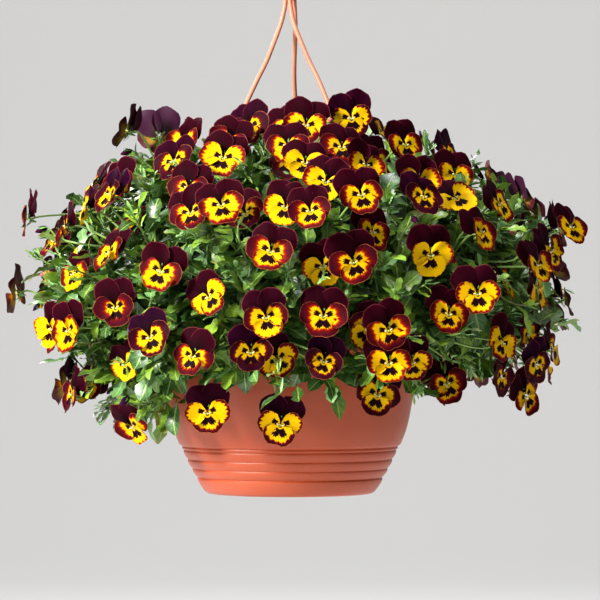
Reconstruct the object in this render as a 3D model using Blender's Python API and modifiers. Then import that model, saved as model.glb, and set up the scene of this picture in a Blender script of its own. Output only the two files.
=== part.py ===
"""Hanging basket of pansies: a turned plastic pot, its soil, a three-armed hanger and leafy sprays.

Units are metres and +Z is up. Heights are measured from the underside of the pot, and one empty
carries every part down so that the world's origin is the seat inside the hanger's hook.
The pot's front faces -Y.
"""

import math
import random
from dataclasses import dataclass

import bmesh
import bpy
from mathutils import Matrix, Vector
from mathutils.bvhtree import BVHTree

MM = 0.001
GAP = 0.3 * MM                     # clearance between neighbouring parts
WELD = 0.05 * MM                   # points closer than this are one
CUT_OVERRUN = 5 * MM               # how far a cutter stands out of what it cuts

# Pot
POT_HEIGHT = 148 * MM
POT_LIP_RADIUS = 131.5 * MM
POT_STEPS = 28
BASE_RADIUS = 80 * MM
GROOVE_DEPTH = 1.3 * MM
GROOVE_WIDTH = 2.2 * MM
GROOVE_SEATS = (                   # height and radius of each groove round the foot
    (43.5 * MM, 106.5 * MM), (34.3 * MM, 102.5 * MM), (25.1 * MM, 98 * MM), (15.9 * MM, 92.5 * MM),
)
DRAIN_RADIUS = 1.8 * MM
DRAIN_COUNT = 4
DRAIN_CIRCLE = 60 * MM

# Soil
SOIL_HEIGHT = 133 * MM
HOLE_DEPTH = 12 * MM

# Hanger
HOOK_SEAT_HEIGHT = 575 * MM
LUG_AZIMUTHS = {"left": 203, "right": 323, "back": 83}
LUG_CIRCLE = 136 * MM
LUG_RADIUS = 6.5 * MM
LUG_THICKNESS = 4 * MM
ARM_RADIUS = 2.3 * MM
HOLE_RADIUS = ARM_RADIUS + 0.6 * MM   # holes for the arms, in the ears and the hub
BUTTON_RADIUS = 3.9 * MM           # the swelling under the ear that keeps an arm in
BUTTON_HEIGHT = 3.5 * MM
ARM_TWIST = -53                    # degrees that the hub is turned against the lugs
HUB_BOTTOM = 497 * MM
HUB_TOP = 514 * MM
HUB_RADIUS = 9.5 * MM
SOCKET_DEPTH = 9 * MM
HOOK_ROD_RADIUS = 3 * MM
HOOK_INNER_RADIUS = 16 * MM

# Foliage: height and radius of the shell on which the blooms sit, round the mound's own axis
MOUND_AXIS_X = 12 * MM
MOUND = (
    (70 * MM, 170 * MM), (95 * MM, 215 * MM), (130 * MM, 243 * MM), (170 * MM, 260 * MM),
    (215 * MM, 267 * MM), (255 * MM, 260 * MM), (290 * MM, 232 * MM), (320 * MM, 193 * MM),
    (345 * MM, 143 * MM), (362 * MM, 85 * MM), (370 * MM, 0.0),
)
WIDEST = MOUND[4]
SKIRT_SIDE = 88 * MM               # lowest bloom centre at the sides
SKIRT_FRONT = 138 * MM             # and in front, where the pot shows
BLOOM_COUNT = 130
BLOOM_RADIUS = 25 * MM
BLOOM_SIZES = (0.92, 1.06)         # smallest and largest bloom, as shares of that radius
BLOOM_REACH = 1.14                 # a face's farthest corner, as a share of its radius
CLEAR_AHEAD = 6 * MM               # free space kept before and behind each face
CLEAR_BEHIND = 9.5 * MM
LIP_CLEARANCE = (14 * MM, 8 * MM)  # free space kept round and above the pot's lip
ARM_CLEARANCE = (1.15, 4 * MM)     # free space kept round an arm: a share of the radius, and more
BACK_CROWDING = 0.36               # how thick the blooms stand behind, as a share of the front
CROWDING_POWER = 1.3               # how fast the blooms thin out to the back
CROWN_RADIUS = 45 * MM             # inside this radius the blooms don't thin out further
DARTS = 16000
LEVEL_ELEVATION = 12               # degrees that a bloom looks up at the mound's widest height
TOP_ELEVATION = 32
SKIRT_ELEVATION = -10
FRONT_PULL = 0.28                  # how far the blooms in front turn to the front
DEPTH_SPREAD = 7 * MM
DEPTH_ELEVATION = 70               # degrees that a bloom's shift in depth is turned up at the top
TURN_SPREAD = 15
TILT_SPREAD = 9
ROLL_SPREAD = 14
SEED = 7

# Blooms that stand out of the mound or trail from it: X, Y, height, facing azimuth, elevation, roll
TRAILING_BLOOMS = (
    (-79, -168, 89, 262, -12, 6), (-8, -176, 78, 272, -16, -8), (24, -181, 112, 268, -4, 12),
    (85, -170, 106, 285, -10, -14), (122, -158, 88, 300, -18, 10), (-156, -92, 72, 225, -38, 20),
    (-214, -70, 104, 196, 4, -12), (150, -140, 116, 296, 6, 16),
    (-162, -18, 366, 168, 14, 10), (-132, 22, 362, 84, 10, -8), (-262, -20, 279, 186, 6, 0),
    (226, -60, 256, 352, -8, 10), (60, -52, 376, 276, 6, 8), (104, -38, 366, 300, 10, -12),
    (16, -70, 368, 262, 12, -6), (-40, -78, 366, 244, 14, 12), (268, -30, 268, 348, 4, 8),
)

# Bloom outlines in units of the bloom's radius: (across, up, forward)
FRONT_PETALS = (
    (0.70, 0.42, 0.05), (0.98, -0.10, 0.12), (0.60, -0.46, 0.02), (0.48, -0.98, 0.12),
    (-0.48, -0.98, 0.12), (-0.60, -0.46, 0.02), (-0.98, -0.10, 0.12), (-0.70, 0.42, 0.05),
)
BACK_PETALS = (
    (0.0, 0.84, -0.14), (0.62, 1.00, -0.20), (0.92, 0.12, -0.10), (-0.92, 0.12, -0.10), (-0.62, 1.00, -0.20),
)
INNER_SHARE = 0.55                 # a face is also tested this far in from its edge
THROAT_DEPTH = 1.5 * MM
PETAL_THICKNESS = 0.9 * MM
PETAL_STEP = 0.5 * MM
STALK_RADIUS = 1.3 * MM
STALK_ROOT_RADIUS = 0.8 * MM
STALK_NECK = 6.5 * MM
STALK_HOOK = 13 * MM
STALK_LEAST = 15 * MM              # shortest way from a stem to the hook
STALK_LEAST_TURN = -0.2            # how far a stalk may double back, as a cosine
STALK_SEATS = (0.15, 0.5, 0.85)    # where stalks start, as shares of a stretch of stem

# Leaf stations: share of the length, and half-width as a share of the widest
LEAF_STATIONS = ((0.0, 0.10), (0.34, 0.12), (0.52, 0.94), (0.64, 0.74), (0.80, 1.0), (1.0, 0.30))
LEAF_HALF_WIDTH = 9 * MM
LEAF_THICKNESS = 0.8 * MM
LEAF_ARCH = 6 * MM
LEAF_TURN = 70                     # degrees that a leaf may point aside of its stem's azimuth
LEAF_ELEVATIONS = (-35, 75)
LEAF_LEAN = 0.4
LEAF_SEATS = (0.2, 0.9)            # where leaves start, as shares of a stretch of stem

# Sprays: ring radius in the soil, tip radius and height, how many, and the first one's azimuth
SPRAY_TIERS = (
    (98 * MM, 205 * MM, 158 * MM, 9, 20.0),
    (68 * MM, 196 * MM, 226 * MM, 8, 0.0),
    (40 * MM, 128 * MM, 288 * MM, 6, 53.0),
    (13 * MM, 42 * MM, 310 * MM, 3, 23.0),
)
COLLAR_HEIGHT = 3 * MM             # a stem stands upright up to here above the soil
LOW_TIP = 60 * MM                  # tips lower than this above the soil hang over the rim
LOW_RISE = 86 * MM                 # how high their stems rise first
LOW_OVERSHOOT = 62 * MM            # and how far over the tip they bend
STEM_REACH = 0.62                  # share of the rise and of the spread at which a stem bends
STEM_FLARE = 1.04
STEM_STOPS = (0.3, 0.55, 0.78, 1.0)
STEM_ROOT_RADIUS = 3.0 * MM
STEM_TIP_RADIUS = 2.4 * MM
LEAF_COUNTS = (2, 2, 1)            # leaves on each stem, in turn
LEAF_LENGTHS = (50 * MM, 72 * MM)
LEAF_TRIES = 60
ROOT_TRIES = 160
CROSSING_MARGIN = 0.5 * MM
FLAT_ANGLE = math.radians(0.05)


@dataclass
class Bloom:
    """One pansy: centre, facing direction, up direction in its face, and radius."""

    centre: Vector
    facing: Vector
    up: Vector
    radius: float


def polar(radius, azimuth_degrees, height, axis_x=0.0):
    """Return a point from its radius, azimuth and height."""
    angle = math.radians(azimuth_degrees)
    return Vector((axis_x + radius * math.cos(angle), radius * math.sin(angle), height))


def direction(azimuth_degrees, elevation_degrees):
    """Return a unit vector from an azimuth and an elevation."""
    rise = math.radians(elevation_degrees)
    return polar(math.cos(rise), azimuth_degrees, math.sin(rise))


# ---------------------------------------------------------------- where the blooms are


def make_bloom(centre, facing, roll_degrees, radius):
    """Build a bloom that faces a direction, upright but for its roll."""
    level = Vector((0, 0, 1)).cross(facing).normalized()
    up = Matrix.Rotation(math.radians(roll_degrees), 3, facing) @ facing.cross(level)
    return Bloom(centre, facing, up, radius)


def disc_points(bloom):
    """Sample a bloom's face at its petals' edges and half way in, and the start of its stalk."""
    across = bloom.up.cross(bloom.facing)
    points = [bloom.centre - bloom.facing * (step * STALK_NECK) for step in range(5)]
    for x, y, z in FRONT_PETALS + BACK_PETALS:
        offset = (across * x + bloom.up * y + bloom.facing * z) * bloom.radius
        points += [bloom.centre + offset, bloom.centre + offset * INNER_SHARE]
    return points


def near_disc(points, bloom):
    """Tell whether any point comes close in front of or behind a bloom's face."""
    for point in points:
        offset = point - bloom.centre
        depth = offset.dot(bloom.facing)
        flat = (offset - depth * bloom.facing).length
        if -CLEAR_BEHIND < depth < CLEAR_AHEAD and flat < bloom.radius * BLOOM_REACH:
            return True
    return False


def blooms_clash(first, first_points, second, second_points):
    """Tell whether two blooms cross or nearly touch."""
    apart = first.centre - second.centre
    if apart.length > (first.radius + second.radius) * BLOOM_REACH:
        return False
    return near_disc(first_points, second) or near_disc(second_points, first)


def hits_pot_or_arms(bloom, points):
    """Tell whether a bloom comes near the pot or one of the hanger's arms."""
    lip_room, top_room = LIP_CLEARANCE
    arm_share, arm_room = ARM_CLEARANCE
    for point in points:
        if point.z < POT_HEIGHT + top_room and math.hypot(point.x, point.y) < POT_LIP_RADIUS + lip_room:
            return True
    for side in LUG_AZIMUTHS:
        path = arm_path(side)
        for start, end in zip(path, path[1:]):
            share = (bloom.centre - start).dot(end - start) / (end - start).length_squared
            closest = start + (end - start) * min(max(share, 0.0), 1.0)
            if (closest - bloom.centre).length < bloom.radius * arm_share + arm_room:
                return True
    return False


def mound_place(along):
    """Return the shell's radius and height at a share of its profile's length."""
    spans = [math.dist(a, b) for a, b in zip(MOUND, MOUND[1:])]
    left = along * sum(spans)
    for (z_low, r_low), (z_high, r_high), span in zip(MOUND, MOUND[1:], spans):
        if left <= span:
            share = left / span
            return r_low + (r_high - r_low) * share, z_low + (z_high - z_low) * share
        left -= span
    return MOUND[-1][1], MOUND[-1][0]


def skirt_height(azimuth):
    """Return how low the blooms hang at an azimuth: higher in front, where the pot shows."""
    front = max(0.0, -math.sin(math.radians(azimuth))) ** 2
    return SKIRT_SIDE + (SKIRT_FRONT - SKIRT_SIDE) * front


def random_bloom(rng):
    """Throw one bloom at the mound's shell, or return None where it misses."""
    azimuth = rng.uniform(0, 360)
    radius, height = mound_place(rng.random())
    depth = rng.gauss(0, DEPTH_SPREAD)
    turn = rng.gauss(0, TURN_SPREAD)
    tilt = rng.gauss(0, TILT_SPREAD)
    roll = rng.gauss(0, ROLL_SPREAD)
    size = BLOOM_RADIUS * rng.uniform(*BLOOM_SIZES)
    frontness = (1 - math.sin(math.radians(azimuth))) / 2
    crowding = BACK_CROWDING + (1 - BACK_CROWDING) * frontness ** CROWDING_POWER
    if rng.random() > crowding * max(radius, CROWN_RADIUS) / WIDEST[1] or height < skirt_height(azimuth):
        return None
    if height > WIDEST[0]:
        rise = (height - WIDEST[0]) / (MOUND[-1][0] - WIDEST[0])
        elevation = LEVEL_ELEVATION + (TOP_ELEVATION - LEVEL_ELEVATION) * rise
    else:
        rise = 0.0
        fall = (WIDEST[0] - height) / (WIDEST[0] - MOUND[0][0])
        elevation = LEVEL_ELEVATION + (SKIRT_ELEVATION - LEVEL_ELEVATION) * fall
    facing = direction(azimuth + turn, elevation + tilt) - Vector((0, FRONT_PULL * frontness, 0))
    centre = polar(radius, azimuth, height, MOUND_AXIS_X)
    centre += direction(azimuth, DEPTH_ELEVATION * rise) * depth
    return make_bloom(centre, facing.normalized(), roll, size)


def place_blooms():
    """Place the trailing blooms, then fill the mound by seeded darts that keep clear of one another."""
    rng = random.Random(SEED)
    blooms = []
    samples = []
    for x, y, height, azimuth, elevation, roll in TRAILING_BLOOMS:
        centre = Vector((x, y, height)) * MM
        bloom = make_bloom(centre, direction(azimuth, elevation), roll, BLOOM_RADIUS)
        points = disc_points(bloom)
        if any(blooms_clash(bloom, points, *other) for other in zip(blooms, samples)):
            continue
        blooms.append(bloom)
        samples.append(points)
    for _ in range(DARTS):
        bloom = random_bloom(rng)
        if bloom is None or len(blooms) >= BLOOM_COUNT:
            continue
        points = disc_points(bloom)
        if hits_pot_or_arms(bloom, points):
            continue
        if not any(blooms_clash(bloom, points, *other) for other in zip(blooms, samples)):
            blooms.append(bloom)
            samples.append(points)
    return blooms


# ---------------------------------------------------------------- the hanger's line


ARM_LINE = (
    (141, 136.0, 0.0), (150, 136.0, 0.0), (182, 129.0, 0.0), (230, 114.5, 0.0), (280, 98.0, 0.0),
    (330, 77.0, 0.0), (371, 56.0, 0.0), (410, 36.5, 0.0), (430, 25.5, 0.05), (450, 16.5, 0.20),
    (470, 9.0, 0.55), (488, 5.4, 0.92), (497, 5.0, 1.0), (505.5, 5.0, 1.0),
)


def arm_path(side):
    """Return an arm's centre line from below its ear up into its socket in the hub."""
    lug = LUG_AZIMUTHS[side]
    return [polar(radius * MM, lug + ARM_TWIST * twist, height * MM) for height, radius, twist in ARM_LINE]


# ---------------------------------------------------------------- modelling helpers


class Workshop:
    """The basket's collection, the tools' collection, and the empty that carries both."""

    def __init__(self):
        """Clear the scene and set up the two collections."""
        for obj in list(bpy.data.objects):
            bpy.data.objects.remove(obj)
        self.basket = bpy.data.collections.new("pansy_hanging_basket")
        self.tools = bpy.data.collections.new("cutters")
        bpy.context.scene.collection.children.link(self.basket)
        bpy.context.scene.collection.children.link(self.tools)
        self.empty = bpy.data.objects.new("basket_frame", None)
        self.empty.location = (0, 0, -HOOK_SEAT_HEIGHT)
        self.basket.objects.link(self.empty)

    def part(self, name, mesh, material):
        """Add a part of the basket."""
        mesh.materials.append(material)
        obj = bpy.data.objects.new(name, mesh)
        self.basket.objects.link(obj)
        obj.parent = self.empty
        return obj

    def tool_set(self, name):
        """Make a collection for tools that work together."""
        collection = bpy.data.collections.new(name)
        self.tools.children.link(collection)
        return collection

    def tool(self, name, mesh, collection):
        """Add a cutter or joiner, which isn't part of the basket."""
        obj = bpy.data.objects.new(name, mesh)
        collection.objects.link(obj)
        obj.parent = self.empty
        obj.hide_render = True
        obj.display_type = "WIRE"
        return obj


def plain_material(name, color, roughness):
    """Make a plain material from a base colour and a roughness."""
    material = bpy.data.materials.new(name)
    material.use_nodes = True
    shader = material.node_tree.nodes["Principled BSDF"]
    shader.inputs["Base Color"].default_value = (*color, 1.0)
    shader.inputs["Roughness"].default_value = roughness
    shader.inputs["Metallic"].default_value = 0.0
    return material


def finish_mesh(bm, name):
    """Turn a bmesh into a mesh whose faces point out."""
    bmesh.ops.recalc_face_normals(bm, faces=bm.faces)
    mesh = bpy.data.meshes.new(name)
    bm.to_mesh(mesh)
    bm.free()
    return mesh


def band(bm, low, high):
    """Close the strip between two rings that run the same way and may have unlike counts."""
    i = j = 0
    while i < len(low) or j < len(high):
        if (i + 1) / len(low) <= (j + 1) / len(high) + 1e-9 and i < len(low) or j == len(high):
            bm.faces.new((low[i], low[(i + 1) % len(low)], high[j % len(high)]))
            i += 1
        else:
            bm.faces.new((low[i % len(low)], high[(j + 1) % len(high)], high[j]))
            j += 1


def loft(rings, name):
    """Build one closed body through a list of rings; a ring of one point closes its end to a fan."""
    bm = bmesh.new()
    rings = [[bm.verts.new(point) for point in ring] for ring in rings]
    for low, high in zip(rings, rings[1:]):
        if len(low) == 1:
            for k, vertex in enumerate(high):
                bm.faces.new((low[0], vertex, high[(k + 1) % len(high)]))
        else:
            band(bm, low, high)
    for end in (rings[0], rings[-1]):
        if len(end) > 2:
            bm.faces.new(end)
    return finish_mesh(bm, name)


def tube_rings(path, radii, sides, first_across, square_ends=1):
    """Return a tube's rings along a path without twist; the first ones are square to its start."""
    rings = []
    across = first_across.normalized()
    for k, point in enumerate(path):
        before = path[max(k - 1, 0)]
        after = path[min(k + 1, len(path) - 1)]
        along = (after - before).normalized() if k >= square_ends else (path[1] - path[0]).normalized()
        across = (across - along * across.dot(along)).normalized()
        side = along.cross(across)
        ring = []
        for step in range(sides):
            angle = math.tau * (step + 0.5) / sides
            ring.append(point + (across * math.cos(angle) + side * math.sin(angle)) * radii[k])
        rings.append(ring)
    return rings


def boolean(obj, operation, operand, solver="EXACT"):
    """Add a Boolean modifier with a collection as its operand."""
    modifier = obj.modifiers.new(operation.lower(), "BOOLEAN")
    modifier.operation = operation
    modifier.solver = solver
    modifier.operand_type = "COLLECTION"
    modifier.collection = operand


def turned(shop, name, profile, steps, material):
    """Turn a profile of radius and height, which runs down its outer side, round the Z axis."""
    mesh = bpy.data.meshes.new(name)
    points = [(radius, 0.0, height) for radius, height in profile]
    mesh.from_pydata(points, [(k, k + 1) for k in range(len(points) - 1)], [])
    obj = shop.part(name, mesh, material)
    screw = obj.modifiers.new("turn", "SCREW")
    screw.steps = steps
    screw.render_steps = steps
    screw.use_merge_vertices = True
    screw.merge_threshold = WELD
    return obj


def cylinder(shop, name, radius, low, high, sides, place, collection):
    """Add an upright cylinder tool between two heights, at a place in plan."""
    bm = bmesh.new()
    bmesh.ops.create_cone(bm, cap_ends=True, segments=sides, radius1=radius, radius2=radius, depth=high - low)
    obj = shop.tool(name, finish_mesh(bm, name), collection)
    obj.location = (place.x, place.y, (low + high) / 2)


# ---------------------------------------------------------------- pot and soil


POT_WALL_LINE = (
    (140 * MM, 128.5 * MM), (110 * MM, 125.7 * MM), (90 * MM, 122 * MM),
    (70.5 * MM, 118.2 * MM), (55 * MM, 113.2 * MM), (48.4 * MM, 110.2 * MM), (47.4 * MM, 107.6 * MM),
)
POT_INSIDE = ((47 * MM, 105.2 * MM), (60 * MM, 112 * MM), (95 * MM, 120.6 * MM), (POT_HEIGHT, 127.4 * MM))
POT_FLOOR = 3 * MM
FLOOR_RADIUS = 82 * MM


def pot_profile():
    """Return the pot's profile from the middle of its floor, up inside, over the lip and down outside."""
    profile = [(0.0, POT_FLOOR), (FLOOR_RADIUS, POT_FLOOR)]
    profile += [(radius, height) for height, radius in POT_INSIDE]
    profile += [(POT_LIP_RADIUS, POT_HEIGHT), (POT_LIP_RADIUS, POT_HEIGHT - 5 * MM)]
    profile += [(radius, height) for height, radius in POT_WALL_LINE]
    for height, radius in GROOVE_SEATS:
        profile.append((radius + 0.5 * MM, height + GROOVE_WIDTH / 2))
        profile.append((radius - GROOVE_DEPTH, height))
        profile.append((radius - 0.6 * MM, height - GROOVE_WIDTH / 2))
    profile += [(86 * MM, 4.4 * MM), (82 * MM, 1.2 * MM), (BASE_RADIUS, 0.0), (0.0, 0.0)]
    return profile


def make_pot(shop, material):
    """Make the turned pot with its three ears and its drain holes."""
    pot = turned(shop, "pot", pot_profile(), POT_STEPS, material)
    ears = shop.tool_set("pot_ears")
    holes = shop.tool_set("pot_holes")
    low = POT_HEIGHT - LUG_THICKNESS
    for side, azimuth in LUG_AZIMUTHS.items():
        place = polar(LUG_CIRCLE, azimuth, 0)
        cylinder(shop, f"ear_{side}", LUG_RADIUS, low, POT_HEIGHT - 0.4 * MM, 10, place, ears)
        cylinder(shop, f"ear_hole_{side}", HOLE_RADIUS, low - CUT_OVERRUN, POT_HEIGHT + CUT_OVERRUN, 8,
                 place, holes)
    for k in range(DRAIN_COUNT):
        place = polar(DRAIN_CIRCLE, 45 + 360 * k / DRAIN_COUNT, 0)
        cylinder(shop, f"drain_{k + 1}", DRAIN_RADIUS, -CUT_OVERRUN, POT_FLOOR + CUT_OVERRUN, 6, place, holes)
    boolean(pot, "UNION", ears)
    boolean(pot, "DIFFERENCE", holes)
    merge_flat(pot)
    return pot


def make_soil(shop, material, sprays):
    """Make the potting mix that fills the pot, with a plain square hole for each stem."""
    profile = [(0.0, SOIL_HEIGHT)]
    profile.append((pot_inside_radius(SOIL_HEIGHT) - 2 * GAP, SOIL_HEIGHT))
    profile += [(radius - 2 * GAP, height) for height, radius in reversed(POT_INSIDE[:3])]
    profile += [(FLOOR_RADIUS - 2 * GAP, POT_FLOOR + GAP), (0.0, POT_FLOOR + GAP)]
    soil = turned(shop, "soil", profile, POT_STEPS, material)
    holes = shop.tool_set("stem_holes")
    for spray in sprays:
        root = spray.path[0]
        low = root - Vector((0, 0, GAP))
        high = Vector((root.x, root.y, SOIL_HEIGHT + CUT_OVERRUN))
        radius = STEM_ROOT_RADIUS + GAP * math.sqrt(2)
        rings = tube_rings([low, high], [radius] * 2, 4, spray.across)
        shop.tool(f"hole_{spray.name}", loft(rings, "hole"), holes)
    boolean(soil, "DIFFERENCE", holes)
    merge_flat(soil)
    return soil


def pot_inside_radius(height):
    """Return the radius of the pot's inner wall at a height."""
    for (z_low, r_low), (z_high, r_high) in zip(POT_INSIDE, POT_INSIDE[1:]):
        if z_low <= height <= z_high:
            return r_low + (r_high - r_low) * (height - z_low) / (z_high - z_low)
    raise ValueError("the height is outside the pot's inner wall")


# ---------------------------------------------------------------- hanger


def rod_mesh(shop, name, points, radius):
    """Make a six-sided rod along points as a curve, then turn it into a mesh with welded caps."""
    curve = bpy.data.curves.new(name, "CURVE")
    curve.dimensions = "3D"
    curve.bevel_depth = radius
    curve.bevel_resolution = 1
    curve.use_fill_caps = True
    spline = curve.splines.new("POLY")
    spline.points.add(len(points) - 1)
    for target, point in zip(spline.points, points):
        target.co = (*point, 1.0)
    source = bpy.data.objects.new(name + "_curve", curve)
    shop.tools.objects.link(source)
    graph = bpy.context.evaluated_depsgraph_get()
    mesh = bpy.data.meshes.new_from_object(source.evaluated_get(graph))
    bpy.data.objects.remove(source)
    bpy.data.curves.remove(curve)
    bm = bmesh.new()
    bm.from_mesh(mesh)
    bmesh.ops.remove_doubles(bm, verts=bm.verts, dist=WELD)
    bpy.data.meshes.remove(mesh)
    return finish_mesh(bm, name)


def make_arm(shop, side, material):
    """Make one arm: its rod, and the button under the ear that holds it."""
    path = arm_path(side)
    arm = shop.part(f"hanger_arm_{side}", rod_mesh(shop, side, path, ARM_RADIUS), material)
    high = POT_HEIGHT - LUG_THICKNESS - GAP
    buttons = shop.tool_set(f"button_{side}")
    cylinder(shop, f"arm_button_{side}", BUTTON_RADIUS, high - BUTTON_HEIGHT, high, 8, path[0], buttons)
    boolean(arm, "UNION", buttons)
    return arm


def hook_line():
    """Return the hook's line: up out of the hub, out to one side and over to a point on the other."""
    rod_circle = HOOK_INNER_RADIUS + HOOK_ROD_RADIUS
    middle = HOOK_SEAT_HEIGHT - HOOK_INNER_RADIUS
    points = [Vector((0, 0, HUB_TOP - 6 * MM)), Vector((0, 0, HUB_TOP + 6 * MM))]
    points.append(Vector((-4.5 * MM, 0, HUB_TOP + 14 * MM)))
    for step in range(12):
        angle = math.radians(222 - 22.5 * step)
        points.append(Vector((rod_circle * math.cos(angle), 0, middle + rod_circle * math.sin(angle))))
    return points


def make_hook(shop, material):
    """Make the hub with its three sockets, and the hook that rises out of it."""
    profile = (
        (0.0, HUB_TOP), (4.5 * MM, HUB_TOP), (8 * MM, HUB_TOP - 2 * MM), (HUB_RADIUS, HUB_TOP - 5 * MM),
        (HUB_RADIUS, HUB_BOTTOM + 1 * MM), (HUB_RADIUS - 1 * MM, HUB_BOTTOM), (0.0, HUB_BOTTOM),
    )
    hub = turned(shop, "hanger_hook", profile, 16, material)
    rods = shop.tool_set("hook_rod")
    shop.tool("rod", rod_mesh(shop, "rod", hook_line(), HOOK_ROD_RADIUS), rods)
    sockets = shop.tool_set("hub_sockets")
    for side in LUG_AZIMUTHS:
        high = HUB_BOTTOM + SOCKET_DEPTH
        place = arm_path(side)[-1]
        cylinder(shop, f"socket_{side}", HOLE_RADIUS, HUB_BOTTOM - CUT_OVERRUN, high, 8, place, sockets)
    boolean(hub, "UNION", rods)
    boolean(hub, "DIFFERENCE", sockets)
    merge_flat(hub)
    return hub


# ---------------------------------------------------------------- sprays


@dataclass
class Spray:
    """One leafy stem: its name, centre line, and the direction its square section faces."""

    name: str
    path: list
    across: Vector
    azimuth: float


def bezier(points, share):
    """Return a point on the curve that a list of control points pulls."""
    while len(points) > 1:
        points = [a.lerp(b, share) for a, b in zip(points, points[1:])]
    return points[0]


def stem_path(root_radius, tip_radius, tip_height, azimuth):
    """Return a stem's line: straight out of its hole, then bent outward to its tip."""
    foot = polar(root_radius, azimuth, SOIL_HEIGHT - HOLE_DEPTH + GAP)
    collar = polar(root_radius, azimuth, SOIL_HEIGHT + COLLAR_HEIGHT)
    low = tip_height < SOIL_HEIGHT + LOW_TIP
    rise = LOW_RISE if low else STEM_REACH * (tip_height - SOIL_HEIGHT)
    start = polar(root_radius * STEM_FLARE, azimuth, SOIL_HEIGHT + rise)
    over_radius = root_radius + STEM_REACH * (tip_radius - root_radius)
    over = polar(over_radius, azimuth, tip_height + (LOW_OVERSHOOT if low else 0), MOUND_AXIS_X / 2)
    tip = polar(tip_radius, azimuth, tip_height, MOUND_AXIS_X)
    bend = [bezier([collar, start, over, tip], share) for share in STEM_STOPS]
    return [foot, collar] + bend


def plan_sprays():
    """Set out every stem: tiers of rings in the soil, each leaning outward."""
    sprays = []
    for root_radius, tip_radius, tip_height, count, first in SPRAY_TIERS:
        for k in range(count):
            azimuth = first + 360 * k / count
            path = stem_path(root_radius, tip_radius, tip_height, azimuth)
            across = Vector((math.cos(math.radians(azimuth)), math.sin(math.radians(azimuth)), 0))
            sprays.append(Spray(f"spray_{len(sprays) + 1:02d}", path, across, azimuth))
    return sprays


def stem_radii(path, margin=0.0):
    """Return a stem's radius at each point, thinner to the tip."""
    last = len(path) - 1
    return [STEM_ROOT_RADIUS + (STEM_TIP_RADIUS - STEM_ROOT_RADIUS) * max(k - 1, 0) / (last - 1) + margin
            for k in range(len(path))]


def stem_mesh(spray, margin=0.0):
    """Build a stem's four-sided body."""
    return loft(tube_rings(spray.path, stem_radii(spray.path, margin), 4, spray.across, 2), "stem")


def bloom_mesh(bloom, root, margin=0.0):
    """Build one pansy with its stalk: the front petals stepped over the back pair, one closed body."""
    across = bloom.up.cross(bloom.facing)

    def lay(outline, forward):
        """Place an outline in the bloom's face at a depth."""
        grow = 1 + margin / bloom.radius
        return [bloom.centre + (across * x + bloom.up * y + bloom.facing * z) * (bloom.radius * grow)
                + bloom.facing * forward for x, y, z in outline]

    under = -PETAL_THICKNESS - margin
    back = under - PETAL_STEP
    rings = [[bloom.centre + bloom.facing * (margin - THROAT_DEPTH)]]
    rings.append(lay(FRONT_PETALS, margin))
    rings.append(lay(FRONT_PETALS, under))
    rings.append(lay(BACK_PETALS, back))
    rings.append(lay(BACK_PETALS, back - PETAL_THICKNESS - margin))
    rings += stalk_rings(bloom, root, margin)
    return loft(rings, "bloom")


def stalk_rings(bloom, root, margin):
    """Return a stalk's three-sided rings: behind the bloom, at its hook, and at its root in the stem."""
    neck = bloom.centre - bloom.facing * STALK_NECK
    hook = bloom.centre - bloom.facing * STALK_HOOK
    away = (hook - root).normalized()
    rings = []
    bend = (away + bloom.facing).normalized()
    stops = ((neck, bloom.facing, STALK_RADIUS), (hook, bend, STALK_RADIUS), (root, away, STALK_ROOT_RADIUS))
    for point, along, radius in stops:
        level = (bloom.up - along * bloom.up.dot(along)).normalized()
        side = level.cross(along)
        ring = []
        for step in range(3):
            angle = math.tau * step / 3
            offset = side * math.sin(angle) + level * math.cos(angle)
            ring.append(point + offset * (radius + margin))
        rings.append(ring)
    return rings


def leaf_mesh(root, tip, upper_side, margin=0.0):
    """Build one leaf: a stalk and an arched blade with a scalloped edge, as a loft of flat sections."""
    along = (tip - root).normalized()
    across = along.cross(upper_side).normalized()
    normal = across.cross(along).normalized()
    rings = []
    for share, width in LEAF_STATIONS:
        middle = root.lerp(tip, share) + normal * (LEAF_ARCH * math.sin(math.pi * share))
        half = across * (LEAF_HALF_WIDTH * width + margin)
        thick = normal * (LEAF_THICKNESS / 2 + margin)
        upper, lower = middle + thick, middle - thick
        rings.append([upper + half, upper - half, lower - half, lower + half])
    return loft(rings, "leaf")


def stalk_mesh(bloom, root, margin=0.0):
    """Build only a bloom's stalk, to test where it may run."""
    return loft(stalk_rings(bloom, root, margin), "stalk")


def merge_flat(obj):
    """Merge the flat slivers that cuts leave in an object."""
    dissolve = obj.modifiers.new("merge_flat", "DECIMATE")
    dissolve.decimate_type = "DISSOLVE"
    dissolve.angle_limit = FLAT_ANGLE


class Thicket:
    """Every piece placed so far, so that a new one can be kept clear of its neighbours."""

    def __init__(self):
        """Start with nothing placed."""
        self.pieces = []

    def add(self, owner, mesh):
        """Add a piece that belongs to a node."""
        self.pieces.append((owner, tree_of(mesh)))

    def is_clear(self, mesh, owner=None, skip=None):
        """Tell whether a mesh crosses nothing but its owner's pieces."""
        tree = tree_of(mesh)
        for name, other in self.pieces:
            if name != owner and name != skip and tree.overlap(other):
                return False
        return True


def tree_of(mesh):
    """Return a search tree of a mesh's faces."""
    vertices = [vertex.co.copy() for vertex in mesh.vertices]
    return BVHTree.FromPolygons(vertices, [tuple(face.vertices) for face in mesh.polygons])


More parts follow.
